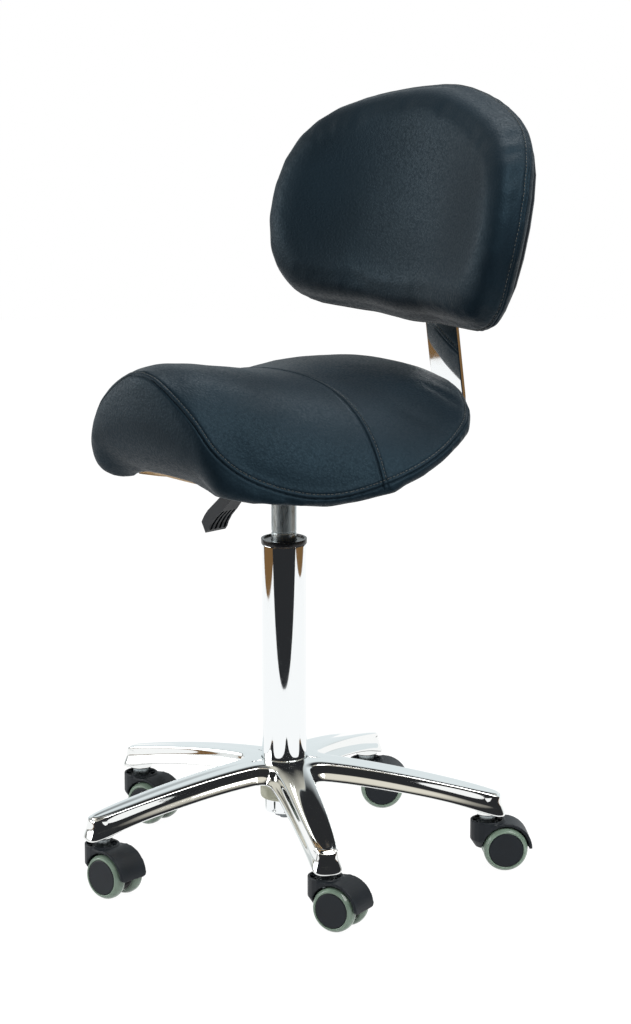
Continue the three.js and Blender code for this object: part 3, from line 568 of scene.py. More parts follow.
# %% Sew a seam into a cover
# Each hump's height, place across the seam and width, in mm
GROOVE_AND_WELT = ((-1.5, 0.0, 0.75), (0.7, 2.5, 1.7), (-0.55, 5.1, 0.8), (0.35, -2.6, 2.0), (0.3, 8.0, 2.4))
STITCH_LINE, SEAM_REACH, SEAM_END = 5.1 * MM, 16 * MM, 2.5 * MM
DIVIDED = (11 * MM, 8 * MM)  # the faces this near a seam are divided, once for each reach


def divide_near(cover, seams, reach):
    def within_reach():
        return [v for v in cover.verts if any(index.find(v.co)[2] < reach for _, index in seams)]

    near = set(within_reach())
    edges = [e for e in cover.edges if e.verts[0] in near and e.verts[1] in near]
    bmesh.ops.subdivide_edges(cover, edges=edges, cuts=1, use_grid_fill=True)
    relax(cover, within_reach(), (0.5, 0.5))


def hump(distance):
    return sum(height * math.exp(-((distance / MM - centre) / width) ** 2)
               for height, centre, width in GROOVE_AND_WELT)


def sew(piece, rings):
    """Carves these seams into the cover."""
    seams = [(frames, seam_index(frames)) for frames in rings]
    cover = bmesh.new()
    cover.from_mesh(piece.data)
    for reach in DIVIDED:
        divide_near(cover, seams, reach)
    cover.normal_update()
    for vertex in cover.verts:
        move = Vector()
        for frames, index in seams:
            distance, along, across = seam_offset(frames, index, vertex.co)
            if distance < SEAM_REACH:
                fade = max(0.0, 1 - max(0.0, abs(along) - SEAM_STEP) / SEAM_END)
                move += vertex.normal * hump(across) * fade * MM
        vertex.co += move
    cover.to_mesh(piece.data)
    cover.free()
    piece.data.shade_smooth()
    print(piece.name, "is sewn and has", len(piece.data.polygons), "faces")


# %% [markdown]
# A stitch is a short length of thread that dips into the cover at both ends, so a flat rounded bead laid
# along the seam shows it. All the stitches of a cushion are one piece.

# %% Stitches
STITCH_PITCH, STITCH_LENGTH, STITCH_WIDTH, STITCH_PROUD = 4.1 * MM, 3.1 * MM, 0.85 * MM, 0.05 * MM


def stitch_row(name, body, tree, rows):
    """Short rounded stitches beside seams, each from a start to an end share of its length, as one piece."""
    stitches = bmesh.new()
    count = 0
    every = STITCH_PITCH / SEAM_STEP
    for frames, start, end in rows:
        for k in range(int((len(frames) * (end - start)) / every)):
            place, along, _, across = frames[int(len(frames) * start + k * every)]
            at, up, _, _ = tree.find_nearest(place + across * STITCH_LINE)
            ahead = (along - up * along.dot(up)).normalized()
            turn = Matrix((ahead, up.cross(ahead), up)).transposed().to_4x4()
            size = Matrix.Diagonal((STITCH_LENGTH / 2, STITCH_WIDTH / 2, STITCH_WIDTH / 2, 1))
            bmesh.ops.create_uvsphere(stitches, u_segments=8, v_segments=5, radius=1,
                                      matrix=Matrix.Translation(at + up * STITCH_PROUD) @ turn @ size)
            count += 1
    print(name, "has", count, "stitches")
    return new_piece(name, stitches, body, thread)


# %% [markdown]
# ## Seat cushion
# The saddle has three panels: a front and a rear top panel, which meet in a seam across the saddle, and a
# band all round. The band's seam runs over the nose in an arch, drops along the sitter's thighs and rises
# again to the back.

# %% Seat cushion
SEAT_SEAM = ((0, -207, 587.4), (72.4, -199, 546), (99.5, -189, 512), (123.6, -155, 479), (169, -86.5, 459),
             (205, 15, 485), (186, 100.5, 519), (96, 169, 538), (0, 197, 517))
SADDLE_MIDDLE = millimetres(0, -20, 590)  # the ring seam's topstitching lies on the side towards it
CROSS_SEAM_Y, CROSS_SEAM_RISE, CROSS_SEAM_END = -35, 37, 200
# The channel along the saddle's middle, and how far the hem is pulled and how far up that is felt, by place
# along Y. All in millimetres.
CHANNEL_HALF_WIDTH, CHANNEL_DEPTH, CHANNEL_Y, CHANNEL_REACH = 52, 11.5, 22, 75
HEM_CENTRE_Y = -20
HEM_PULL = ((-150, 6.5), (-100, 0.3), (-60, 0.3), (0, 4.8), (150, 4.8), (190, 2))
HEM_REACH = ((-170, 32), (-110, 16), (0, 20), (150, 20))
SEAT_MELTING, SEAT_SMOOTHING = 45, 16  # passes
BOARD_REACH, UNDERSIDE_TOP = 7 * MM, 0.5
SEAT_FREE = (4 * MM, 24 * MM)  # from a seam held to a panel free to swell


def mirrored_loop(half):
    points = [millimetres(*p) for p in half]
    return points + [Vector((-p.x, p.y, p.z)) for p in reversed(points[1:-1])]


def cross_seam_points(tree):
    """The seam between the two top panels, from side to side, dropped onto the saddle from above."""
    points = []
    for x in range(-198, 199, 2):
        y = CROSS_SEAM_Y + CROSS_SEAM_RISE * (1 - (x / CROSS_SEAM_END) ** 2)
        hit = tree.ray_cast(millimetres(x, y, 900), -Z_AXIS)
        if hit[0] is not None and hit[1].z > 0.12:
            points.append(hit[0])
    return points


# %% [markdown]
# The CAD crown runs straight along the middle, and the photograph shows a channel there for the sitter. Its
# hem also stands a little higher than the real one, which is drawn down over the foam and stapled under the
# board. Both are moved here, before the smoothing, so that the smoothing blends them in.

# %% Settle the saddle


def held_by_board(piece):
    """The points of the underside and of the pocket for the board."""
    board = surface_tree(nodes["seat_board"])
    held = set()
    for vertex in piece.data.vertices:
        underneath = vertex.normal.z < -0.75 and vertex.co.z < UNDERSIDE_TOP
        if underneath or board.find_nearest(vertex.co)[3] < BOARD_REACH:
            held.add(vertex.index)
    return held


def between_stations(value, stations):
    """A smooth run through (place, height) stations."""
    if value <= stations[0][0]:
        return stations[0][1]
    for (start, low), (end, high) in zip(stations, stations[1:]):
        if value <= end:
            return low + (high - low) * smooth_step(value, start, end)
    return stations[-1][1]


def away_from_middle(co):
    return Vector((co.x, co.y - HEM_CENTRE_Y * MM, 0)).normalized()


def hem_points():
    """Points along the cushion's lower outer edge, found as the convex edge between band and underside."""
    cushion = bmesh.new()
    cushion.from_mesh(nodes["seat_cushion"].data)
    bmesh.ops.remove_doubles(cushion, verts=cushion.verts, dist=0.02 * MM)
    cushion.normal_update()
    points = []
    for edge in cushion.edges:
        if len(edge.link_faces) == 2 and edge.calc_face_angle() > math.radians(30):
            under, band = sorted(edge.link_faces, key=lambda f: f.normal.z)
            middle = (edge.verts[0].co + edge.verts[1].co) / 2
            if under.normal.z < -0.8 and band.normal.dot(away_from_middle(middle)) > 0.25:
                steps = max(1, int(edge.calc_length() / (4 * MM)))
                points += [edge.verts[0].co.lerp(edge.verts[1].co, k / steps) for k in range(steps + 1)]
    cushion.free()
    return points


def settle_saddle(piece):
    """Lowers the channel along the middle of the saddle, and pulls the hem down and out over its foam."""
    hem = hem_points()
    index = place_index(hem)
    print("hem points:", len(hem))
    for vertex in piece.data.vertices:
        x, y = vertex.co.x / MM, vertex.co.y / MM
        if vertex.normal.z > 0.3 and vertex.co.z > 0.52 and abs(x) < CHANNEL_HALF_WIDTH:
            across = (1 - abs(x) / CHANNEL_HALF_WIDTH) ** 1.3
            vertex.co.z -= CHANNEL_DEPTH * across * math.exp(-((y - CHANNEL_Y) / CHANNEL_REACH) ** 2) * MM
        near = 1 - smooth_step(index.find(vertex.co)[2], 0, between_stations(y, HEM_REACH) * MM)
        if near > 0:
            pull = near * between_stations(y, HEM_PULL) * MM
            vertex.co += (away_from_middle(vertex.co) * 0.8 - Z_AXIS) * pull


# %% [markdown]
# The steps are those of an upholsterer: the foam is shaped, the seams are marked, the cover is pulled over
# it, and it is sewn and topstitched.

# %% Make the seat cushion


def make_seat_cushion():
    piece = padded_copy("seat_cushion", "seat_cover", "seat", 6 * MM)
    settle_saddle(piece)
    tree = surface_tree(piece)
    ring = lay_seam(tree, curve_through(mirrored_loop(SEAT_SEAM), True), True, lambda p: SADDLE_MIDDLE - p)
    ring_index = seam_index(ring)
    held = held_by_board(piece)
    channel = {v.index for v in piece.data.vertices if v.normal.z > 0.5 and v.co.z > 0.53
               and abs(v.co.x) < 0.12 and -0.11 < v.co.y < 0.15 and ring_index.find(v.co)[2] > 22 * MM}
    melt(piece, channel, SEAT_MELTING)
    smooth_free(piece, held, SEAT_SMOOTHING)
    sewn = held | {v.index for v in piece.data.vertices if ring_index.find(v.co)[2] < SEAT_FREE[0]}
    board = surface_tree(nodes["seat_board"])
    freedom = [smooth_step(min(ring_index.find(v.co)[2], board.find_nearest(v.co)[3]), *SEAT_FREE)
               for v in piece.data.vertices]
    round_out(piece, held, sewn, freedom, 1.2 * MM, 2.5 * MM)
    tree = surface_tree(piece)
    ring = lay_seam(tree, [f[0] for f in ring], True, lambda p: SADDLE_MIDDLE - p)
    cross = lay_seam(tree, cross_seam_points(tree), False, lambda p: Y_AXIS)
    sew(piece, [ring, cross])
    tree = surface_tree(piece)
    rows = [(ring, 0.0, 1.0), (cross, 0.01, 0.99)]
    stitches = stitch_row("seat_stitches", "seat", tree, rows)
    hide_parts("seat_cushion")
    return piece, stitches


seat_cover, seat_stitches = make_seat_cushion()

# %% [markdown]
# ## Backrest cushion
# The backrest is a D-shaped pad, dished for the sitter's back and bent round it. Its front panel comes
# round the edge and meets a narrow band near the back, where the stitching shows at the side.

# %% Backrest cushion
BACK_Y, BACK_Z, BACK_TILT, BACK_SWEEP, BACK_BAND = 249.3, 733, 15.4, 360 * MM, 13 * MM
BACK_CENTRE = millimetres(0, BACK_Y, BACK_Z)
BACK_OUTLINE = ((0, 124), (46, 118), (93, 104), (139, 80), (175, 39), (191, -27), (183, -99), (155, -135),
                (107, -145), (54, -144), (0, -147))
BACK_CORNERS = (((158, -132), 4.5, 75), ((150, 80), 2.0, 70))  # place across and up, how far out, reach
BACK_MELTING, BACK_SMOOTHING, BACK_FREE = 90, 20, (3 * MM, 20 * MM)


def back_place(x, height, depth):
    """From the pad's own frame, across, up and forwards, to the room."""
    sweep = BACK_SWEEP - math.sqrt(BACK_SWEEP ** 2 - x * x)
    local = Vector((x, -depth - sweep, height))
    return BACK_CENTRE + Matrix.Rotation(-math.radians(BACK_TILT), 3, "X") @ local


def back_ring(share, depth):
    half = [Vector((x * MM * share, 0, z * MM * share)) for x, z in BACK_OUTLINE]
    loop = curve_through(half + [Vector((-p.x, 0, p.z)) for p in reversed(half[1:-1])], True)
    return [back_place(p.x, p.z, depth) for p in loop]


# %% [markdown]
# The lower corners stand out further on the real pad, so the points near them are moved outwards first. The
# face is one broad dish and needs much smoothing.

# %% Make the backrest cushion


def make_back_cushion():
    piece = padded_copy("backrest_cushion", "backrest_cover", "back", 5 * MM)
    forwards = back_place(0, 0, 1) - back_place(0, 0, 0)
    ahead = forwards.normalized()
    for vertex in piece.data.vertices:
        for (x, height), amount, reach in BACK_CORNERS:
            for side in (-1, 1):
                far = (vertex.co - back_place(side * x * MM, height * MM, 15 * MM)).length / (reach * MM)
                if far < 1:
                    outwards = vertex.normal - ahead * vertex.normal.dot(ahead)
                    vertex.co += outwards * amount * MM * (1 - smooth_step(far, 0, 1))
    tree = surface_tree(piece)
    ring = lay_seam(tree, back_ring(1, BACK_BAND), True, lambda p: forwards)
    ring_index = seam_index(ring)
    shell = surface_tree(nodes["backrest_shell"])
    held = {v.index for v in piece.data.vertices
            if shell.find_nearest(v.co)[3] < 4 * MM and v.normal.dot(forwards) < -0.9}
    face = {v.index for v in piece.data.vertices
            if v.normal.dot(ahead) > 0.75 and ring_index.find(v.co)[2] > 52 * MM}
    melt(piece, face, BACK_MELTING)
    smooth_free(piece, held, BACK_SMOOTHING)
    sewn = held | {v.index for v in piece.data.vertices if ring_index.find(v.co)[2] < BACK_FREE[0]}
    freedom = [smooth_step(ring_index.find(v.co)[2], *BACK_FREE) for v in piece.data.vertices]
    round_out(piece, held, sewn, freedom, 0.8 * MM, 3 * MM)
    ring = lay_seam(surface_tree(piece), [f[0] for f in ring], True, lambda p: forwards)
    sew(piece, [ring])
    stitches = stitch_row("backrest_stitches", "back", surface_tree(piece), [(ring, 0.0, 1.0)])
    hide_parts("backrest_cushion")
    return piece, stitches


back_cover, back_stitches = make_back_cushion()

# %% [markdown]
# ## Star base
# The star is one aluminium casting with five arms, polished above and left raw underneath. Its forms run
# into each other, so it is modelled as a coarse cage that a Subdivision Surface rounds. One half of one
# arm is enough: it is a row of ribs, each going from the column over the top face, down the side with its
# ledge, and back underneath. The half is skinned rib by rib, mirrored, and turned five times.

# %% Helpers for skinning
STAR_ARMS, FIRST_ARM = 5, -103


def turn_about_column(mesh, verts, angle):
    bmesh.ops.rotate(mesh, verts=verts, cent=(0, 0, 0), matrix=Matrix.Rotation(angle, 3, "Z"))


def edges_between(mesh, points):
    """A chain of new edges through the points."""
    verts = [mesh.verts.new(p) for p in points]
    return [mesh.edges.new(pair) for pair in zip(verts, verts[1:])]


def pull_out(mesh, edges, points):
    """Extrudes a chain of edges and moves the new chain onto the points, one point for each vertex."""
    before = [edges[0].verts[0]] + [None] * len(edges)
    if edges[0].verts[0] in edges[1].verts:
        before[0] = edges[0].verts[1]
    for i, edge in enumerate(edges):
        before[i + 1] = edge.other_vert(before[i])
    grown = bmesh.ops.extrude_edge_only(mesh, edges=edges)["geom"]
    fresh = [v for v in grown if isinstance(v, bmesh.types.BMVert)]
    after = []
    for old in before:
        twin = next(v for v in fresh if (v.co - old.co).length < 1e-9 and v not in after)
        after.append(twin)
    for vertex, point in zip(after, points):
        vertex.co = point
    return [mesh.edges.get(pair) for pair in zip(after, after[1:])]


# %% [markdown]
# The top of an arm falls towards its tip, slowly at first. The outline in plan flares where it joins its
# neighbour and ends square with round corners over the caster. Each rib lists how far in from the outline
# and at what share of the arm's depth its points lie.

# %% Cage of half an arm
ARM_REACH, ARM_DEPTH, TIP_DEPTH, HUB_TOP, ARM_FALL = 229.5, 19.3, 23.5, 123.0, 33.5
SIDE_PROFILE = ((6.6, 1.0), (5.3, 0.995), (4.8, 0.94), (4.6, 0.86), (4.5, 0.64), (4.2, 0.5), (3.1, 0.38),
                (1.5, 0.22), (0.1, 0.06), (0.9, 0.0))
WALL_LEAN = 1.9  # how much further in the wall's top is at the hub and on the end wall
LAST_HUB_RIB, TIP_RIBS = 3, 4  # the ribs round the column, and those that close the tip
HUB_BORE, HUB_UNDERSIDE = ((25.5, 117.0), (25.6, 121.2), (26.6, 122.4)), ((38, 100), (30, 100), (26, 100))
# Outline point, then the point of the top's middle that the rib starts from, both in the arm's own X and Y
RIBS = (
    ((41.7, 30.3), (22.4, 16.3)), ((45.2, 27.6), (25.3, 11.3)), ((50.6, 26.0), (27.1, 5.8)),
    ((58, 25.6), (27.7, 0)), ((71, 24.6), (42, 0)), ((92, 23.6), (66, 0)), ((120, 22.6), (100, 0)),
    ((156, 21.2), (142, 0)),
    ((192, 19.4), (184, 0)), ((220, 18.0), (212, 0)), ((238, 17.6), (226, 0)), ((249, 13.5), (233, 0)),
    ((250.6, 0), (238.5, 0)),
)


def arm_top(reach):
    return HUB_TOP - ARM_FALL * (reach / ARM_REACH) ** 1.6


def arm_depth(reach):
    return ARM_DEPTH + (TIP_DEPTH - ARM_DEPTH) * min(max((reach - 185) / 50, 0), 1)


def rib_points(number):
    (x, y), (start_x, start_y) = RIBS[number]
    outline, start = Vector((x, y, 0)), Vector((start_x, start_y, 0))
    before = Vector((*RIBS[max(number - 1, 0)][0], 0))
    after = Vector((*RIBS[min(number + 1, len(RIBS) - 1)][0], 0))
    inward = Vector((-(after - before).y, (after - before).x, 0)).normalized()
    inward = inward if inward.dot(start - outline) > 0 else -inward
    if number == 0:
        inward = -outline.normalized()
    if number == len(RIBS) - 1:
        inward = -X_AXIS
    shape = []
    if number <= LAST_HUB_RIB:
        shape += [start.normalized() * radius + Z_AXIS * height for radius, height in HUB_BORE]
    else:
        shape += [start + Z_AXIS * arm_top(start.length)] * 3
    shape.append(start + Z_AXIS * arm_top(start.length))
    upright = smooth_step(outline.length, 75, 190) if number < len(RIBS) - 3 else 0.0
    lean = WALL_LEAN * (1 - upright)
    edge = outline + inward * (SIDE_PROFILE[0][0] + lean)
    for share in (0.4, 0.8):
        at = start.lerp(edge, share)
        shape.append(at + Z_AXIS * (arm_top(at.length) + 0.3))
    depth = arm_depth(outline.length)
    low = arm_top(outline.length) - depth
    for inset, height in SIDE_PROFILE:
        at = outline + inward * (inset + lean * max(0.0, (height - 0.4) / 0.6))
        shape.append(at + Z_AXIS * (low + depth * height))
    floor = outline + inward * 4
    shape.append(floor + Z_AXIS * low)
    if number <= LAST_HUB_RIB:
        shape += [start.normalized() * radius + Z_AXIS * height for radius, height in HUB_UNDERSIDE]
    elif number >= len(RIBS) - TIP_RIBS:
        end = Vector((222 + 2.5 * (number - len(RIBS) + TIP_RIBS), 0, 0))
        shape += [floor.lerp(end, 0.3) + Z_AXIS * (low + 1), floor.lerp(end, 0.6) + Z_AXIS * (low + 1),
                  end + Z_AXIS * (low + 1)]
    else:
        middle = Vector((start_x, 0, 0))
        shape += [outline + inward * 4.6 + Z_AXIS * (low + 2), outline + inward * 6 + Z_AXIS * (low + 14),
                  middle + Z_AXIS * (low + 14.5)]
    return [p * MM for p in shape]


# %% [markdown]
# The ribs are skinned one after another. The half arm is mirrored, and the arm is copied round the column.

# %% Skin and turn the cage


def star_cage():
    cage = bmesh.new()
    chain = edges_between(cage, rib_points(0))
    for number in range(1, len(RIBS)):
        chain = pull_out(cage, chain, rib_points(number))
    bmesh.ops.remove_doubles(cage, verts=cage.verts, dist=0.005 * MM)
    bmesh.ops.dissolve_degenerate(cage, edges=cage.edges, dist=0.005 * MM)
    half = cage.verts[:] + cage.edges[:] + cage.faces[:]
    bmesh.ops.mirror(cage, geom=half, axis="Y", merge_dist=0.01 * MM)
    turn_about_column(cage, cage.verts, math.radians(FIRST_ARM))
    arm = cage.verts[:] + cage.edges[:] + cage.faces[:]
    for k in range(1, STAR_ARMS):
        copy = bmesh.ops.duplicate(cage, geom=arm)["geom"]
        moved = [v for v in copy if isinstance(v, bmesh.types.BMVert)]
        turn_about_column(cage, moved, k * math.tau / STAR_ARMS)
    bmesh.ops.remove_doubles(cage, verts=cage.verts, dist=0.05 * MM)
    bmesh.ops.recalc_face_normals(cage, faces=cage.faces)
    return cage


star = add_subdivision(new_piece("star", star_cage(), "base", polished_aluminium), 2)
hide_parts("star_base")
print("star cage:", len(star.data.polygons), "faces")

# %% [markdown]
# Turned parts are a profile and a spin. The profile is a chain of edges in the XZ plane, listed as radius
# and height, and the full turn is merged at its seam.

# %% Turned parts
LONG_STRAIGHT, SUPPORT = 6, 0.8  # a ring beside each round keeps the mirror of a long straight wall true


def turned(profile, segments=64, closed=False):
    """A solid of revolution about Z from (radius, height) points in millimetres."""
    source = bmesh.new()
    points = [Vector((r * MM, 0, z * MM)) for r, z in profile]
    edges = edges_between(source, points)
    if closed:
        edges.append(source.edges.new((edges[-1].verts[1], edges[0].verts[0])))
    bmesh.ops.spin(source, geom=source.verts[:] + source.edges[:], cent=(0, 0, 0), axis=(0, 0, 1),
                   angle=math.tau, steps=segments, use_merge=True)
    bmesh.ops.remove_doubles(source, verts=source.verts, dist=0.001 * MM)
    bmesh.ops.recalc_face_normals(source, faces=source.faces)
    return source


def rounded(profile, radius, segments=4):
    """The same profile with its corners rounded by arcs, all but its two ends."""
    points = [Vector(p) for p in profile]
    result = [points[0]]
    for before, corner, after in zip(points, points[1:], points[2:]):
        into, out = (corner - before), (after - corner)
        reach = min(radius, 0.45 * into.length, 0.45 * out.length)
        start, end = corner - into.normalized() * reach, corner + out.normalized() * reach
        if into.length > LONG_STRAIGHT:
            result.append(start - into.normalized() * SUPPORT)
        for k in range(segments + 1):
            t = k / segments
            result.append(start * (1 - t) ** 2 + corner * 2 * t * (1 - t) + end * t * t)
        if out.length > LONG_STRAIGHT:
            result.append(end + out.normalized() * SUPPORT)
    return [tuple(p) for p in result + [points[-1]]]


# %% [markdown]
# Under the hub the casting is left raw: a grey-green boss, into which the column is pressed. The sockets
# at the arms' tips are turned bosses too.

# %% Bosses of the star


def raw_casting():
    material, shader = new_material("raw_cast_aluminium", {"Metallic": 0.6, "Specular IOR Level": 0.4})
    tree = material.node_tree
    place = object_place(tree)
    sand, cloud = noise(tree, place, 1.6, 6.0), noise(tree, place, 14, 2.0)
    base = ramp(tree, cloud, [(0.3, colour("#8f907c")), (0.7, colour("#b5b6a6"))])
    coat_surface(tree, shader, base, spread(tree, sand, 0.42, 0.68), relief(tree, sand, 0.6, 0.25))
    return material


raw_aluminium = raw_casting()
boss_profile = rounded([(22.7, 101), (22.7, 75.5), (26.2, 75.5), (27, 78), (27.6, 101)], 1.5)
hub_boss = new_piece("hub_boss", turned(boss_profile, 72), "base", raw_aluminium)


def tip_sockets():
    source = bmesh.new()
    for k in range(STAR_ARMS):
        angle = math.radians(FIRST_ARM + k * 360 / STAR_ARMS)
        one = turned(rounded([(5.9, 84), (5.9, 62.2), (12, 62.2), (13, 63.4), (13, 84)], 0.8), 32)
        bmesh.ops.translate(one, verts=one.verts, vec=millimetres(ARM_REACH * math.cos(angle),
                                                                  ARM_REACH * math.sin(angle), 0))
        mesh = bpy.data.meshes.new("one_socket")
        one.to_mesh(mesh)
        one.free()
        source.from_mesh(mesh)
        bpy.data.meshes.remove(mesh)
    return source


sockets = new_piece("tip_sockets", tip_sockets(), "base", polished_aluminium)

# %% [markdown]
# ## Column and gas spring
# The column is a chromed tube with a drawn-in lower end that comes out under the hub. A black plastic
# sleeve closes its top round the gas spring, whose satin cylinder carries a fine turned groove.

# %% Column, sleeve and gas spring
TAIL_BOTTOM, NOTCH_TOP, NOTCHES = 60, 65.5, (-74, -36, 46, 166)
NOTCH_HALF_ANGLE, NOTCH_SHARE = 3.8, 0.94  # half a notch's width in degrees, and its share of the radius
column_profile = rounded([(5.3, 65), (5.3, 62.5), (20.6, 62.5), (20.6, TAIL_BOTTOM), (22.2, TAIL_BOTTOM),
                          (22.2, 61.6), (22.2, NOTCH_TOP), (22.2, 74), (25, 119), (25, 368.1), (23.4, 368.1),
                          (23.4, 119), (20.6, 78), (20.6, 65), (5.3, 65)], 0.5)


def notched_tube():
    """The column with the small notches that a tool left round its foot."""
    tube = turned(column_profile, 96)
    cut = []
    for face in tube.faces:
        at = face.calc_center_median() / MM
        angle = math.degrees(math.atan2(at.y, at.x))
        if math.hypot(at.x, at.y) > 21.8 and 62 < at.z < NOTCH_TOP - 0.4:
            cut += [face for notch in NOTCHES if abs((angle - notch + 180) % 360 - 180) < NOTCH_HALF_ANGLE]
    grown = bmesh.ops.extrude_face_region(tube, geom=cut)["geom"]
    sunk = [v for v in grown if isinstance(v, bmesh.types.BMVert)]
    bmesh.ops.scale(tube, verts=sunk, vec=(NOTCH_SHARE, NOTCH_SHARE, 1))
    bmesh.ops.delete(tube, geom=cut, context="FACES")
    return tube


column = new_piece("column", notched_tube(), "base", chrome_plate)
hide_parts("column_tube")
sleeve_profile = rounded([(14.5, 250), (14.5, 372.4), (22.6, 372.4), (22.6, 374.1), (25.6, 374.1),
                          (25.6, 368.6), (22.6, 368.6), (22.6, 250)], 0.5)
sleeve = new_piece("column_sleeve", turned(sleeve_profile, 72), "base", black_acetal)
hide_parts("guide_sleeve")
spring_profile = rounded([(11.5, 135.2), (14, 136), (14, 380.6), (13.55, 381), (13.55, 382.4), (14, 382.8),
                          (14, 415.5), (13.2, 416.5), (13.2, 436.6), (4.5, 436.8)], 0.4)
spring = new_piece("spring_cylinder", turned(spring_profile, 64), "seat", zinc_plate)
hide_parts("gas_cylinder")
for piece in (hub_boss, sockets, column, sleeve, spring):
    print(piece.name, len(piece.data.polygons), "faces")

# %% [markdown]
# ## Backrest bar
# The bar is flat steel, 50 by 5 mm, bent twice and chromed. The CAD bends are short flats; here the same
# path has fine arcs. The path is pulled across into a ribbon, which gets its thickness and its rounded
# edges from modifiers, so that the mirror finish flows without facets.

# %% Bar
BAR_Z, BAR_FRONT, BAR_RISER, BAR_LEAN, BAR_WIDTH, BAR_THICKNESS = 446.8, 60, 264, 8.5, 50, 5
BAR_BEND, BAR_UPPER_BEND, BAR_TOP, BAR_STAND_OFF = 52, 60, 752, 15.2


def fillet(before, corner, after, radius, steps):
    """Points of an arc that rounds a corner."""
    into, out = (corner - before).normalized(), (after - corner).normalized()
    turn = into.angle(out)
    reach = radius * math.tan(turn / 2)
    start, end = corner - into * reach, corner + out * reach
    centre = corner + (out - into).normalized() * (radius / math.cos(turn / 2))
    spoke, last = start - centre, end - centre
    points = []
    for k in range(steps + 1):
        t = k / steps
        blend = (spoke * math.sin((1 - t) * turn) + last * math.sin(t * turn)) / math.sin(turn)
        points.append(centre + blend)
    return points


def bar_path():
    """The bar's run from under the seat, up and forwards, and then parallel to the backrest's tilt."""
    tilt = math.radians(BACK_TILT)
    slope, lean = math.tan(tilt), math.tan(math.radians(BAR_LEAN))

    def upper_y(z):
        return BACK_Y + BAR_STAND_OFF / math.cos(tilt) + (z - BACK_Z) * slope

    rise = (BAR_RISER - upper_y(BAR_Z)) / (slope + lean)
    start, foot = Vector((0, BAR_FRONT, BAR_Z)), Vector((0, BAR_RISER, BAR_Z))
    knee = Vector((0, BAR_RISER - rise * lean, BAR_Z + rise))
    end = Vector((0, upper_y(BAR_TOP), BAR_TOP))
    return [start, *fillet(start, foot, knee, BAR_BEND, 24), *fillet(foot, knee, end, BAR_UPPER_BEND, 12), end]


def make_bar():
    ribbon = bmesh.new()
    path = [p * MM for p in bar_path()]
    half, column = BAR_WIDTH / 2, 1.5  # an extra row beside each edge keeps the mirror true
    chain = edges_between(ribbon, [p - X_AXIS * half * MM for p in path])
    for place in (column - half, half - column, half):
        chain = pull_out(ribbon, chain, [p + X_AXIS * place * MM for p in path])
    bmesh.ops.recalc_face_normals(ribbon, faces=ribbon.faces)
    piece = new_piece("bar", ribbon, "bar", chrome_plate)
    thick = piece.modifiers.new("thick", "SOLIDIFY")
    thick.thickness, thick.offset, thick.use_even_offset = BAR_THICKNESS * MM, 0, True
    edge = piece.modifiers.new("edge", "BEVEL")
    edge.width, edge.segments, edge.limit_method, edge.angle_limit = 0.9 * MM, 4, "ANGLE", math.radians(50)
    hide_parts("backrest_bar")
    return piece


bar = make_bar()

# %% [markdown]
# ## Casters
# A caster is a black moulded hood over two wheels. The CAD hood has the right walls and holes but hard
# edges, so a copy is remeshed finely and smoothed, which leaves the small radii that every moulding has.
# The wheels are turned: a black disc, and round it a glossy tread with rounded shoulders.

# %% Casters
CASTER_TRAIL, WHEEL_RADIUS, WHEEL_INNER, WHEEL_WIDTH, TREAD = 19, 25, 6.2, 15.3, 5.3
TRAIL_HEADINGS = (6, 17, 52, 45, 12)
HOOD_HALF, HOOD_LIP, FENDER_CORNER, COLLAR_RIBS = 19.5, 24, 6, 9


def caster_place(number):
    """From the caster's own frame to the stool's: the stem's place, then the way the wheels trail."""
    arm = math.radians(FIRST_ARM + (number - 1) * 360 / STAR_ARMS)
    stem = Matrix.Translation(millimetres(ARM_REACH * math.cos(arm), ARM_REACH * math.sin(arm), 0))
    return stem @ Matrix.Rotation(math.radians(TRAIL_HEADINGS[number - 1]), 4, "Z")


def round_fender(piece, place):
    """Draws the two square corners at the fender's lower end in to an arc."""
    back = place.inverted()
    for vertex in piece.data.vertices:
        at = back @ vertex.co
        side, low = abs(at.y) / MM - (HOOD_HALF - FENDER_CORNER), HOOD_LIP + FENDER_CORNER - at.z / MM
        out = math.hypot(side, low)
        if at.x > 30 * MM and side > 0 and low > 0 and out > FENDER_CORNER:
            at.y = math.copysign((HOOD_HALF - FENDER_CORNER + side * FENDER_CORNER / out) * MM, at.y)
            at.z = (HOOD_LIP + FENDER_CORNER - low * FENDER_CORNER / out) * MM
            vertex.co = place @ at


def make_hood(number):
    source = bmesh.new()
    source.from_mesh(nodes[f"caster_hood_{number}"].data)
    bmesh.ops.remove_doubles(source, verts=source.verts, dist=0.01 * MM)
    piece = new_piece(f"hood_{number}", source, f"caster_{number}", black_nylon)
    even = piece.modifiers.new("even", "REMESH")
    even.mode, even.voxel_size = "VOXEL", 0.9 * MM
    apply_modifiers(piece)
    round_fender(piece, caster_place(number))
    soft = piece.modifiers.new("soft", "SMOOTH")
    soft.factor, soft.iterations = 0.5, 3
    apply_modifiers(piece).data.shade_smooth()
    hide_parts(f"caster_hood_{number}")
    return piece


# %% [markdown]
# A cup round the stem is stiffened by small ribs, which are cubes turned about the stem and bevelled.

# %% Ribs of the collar


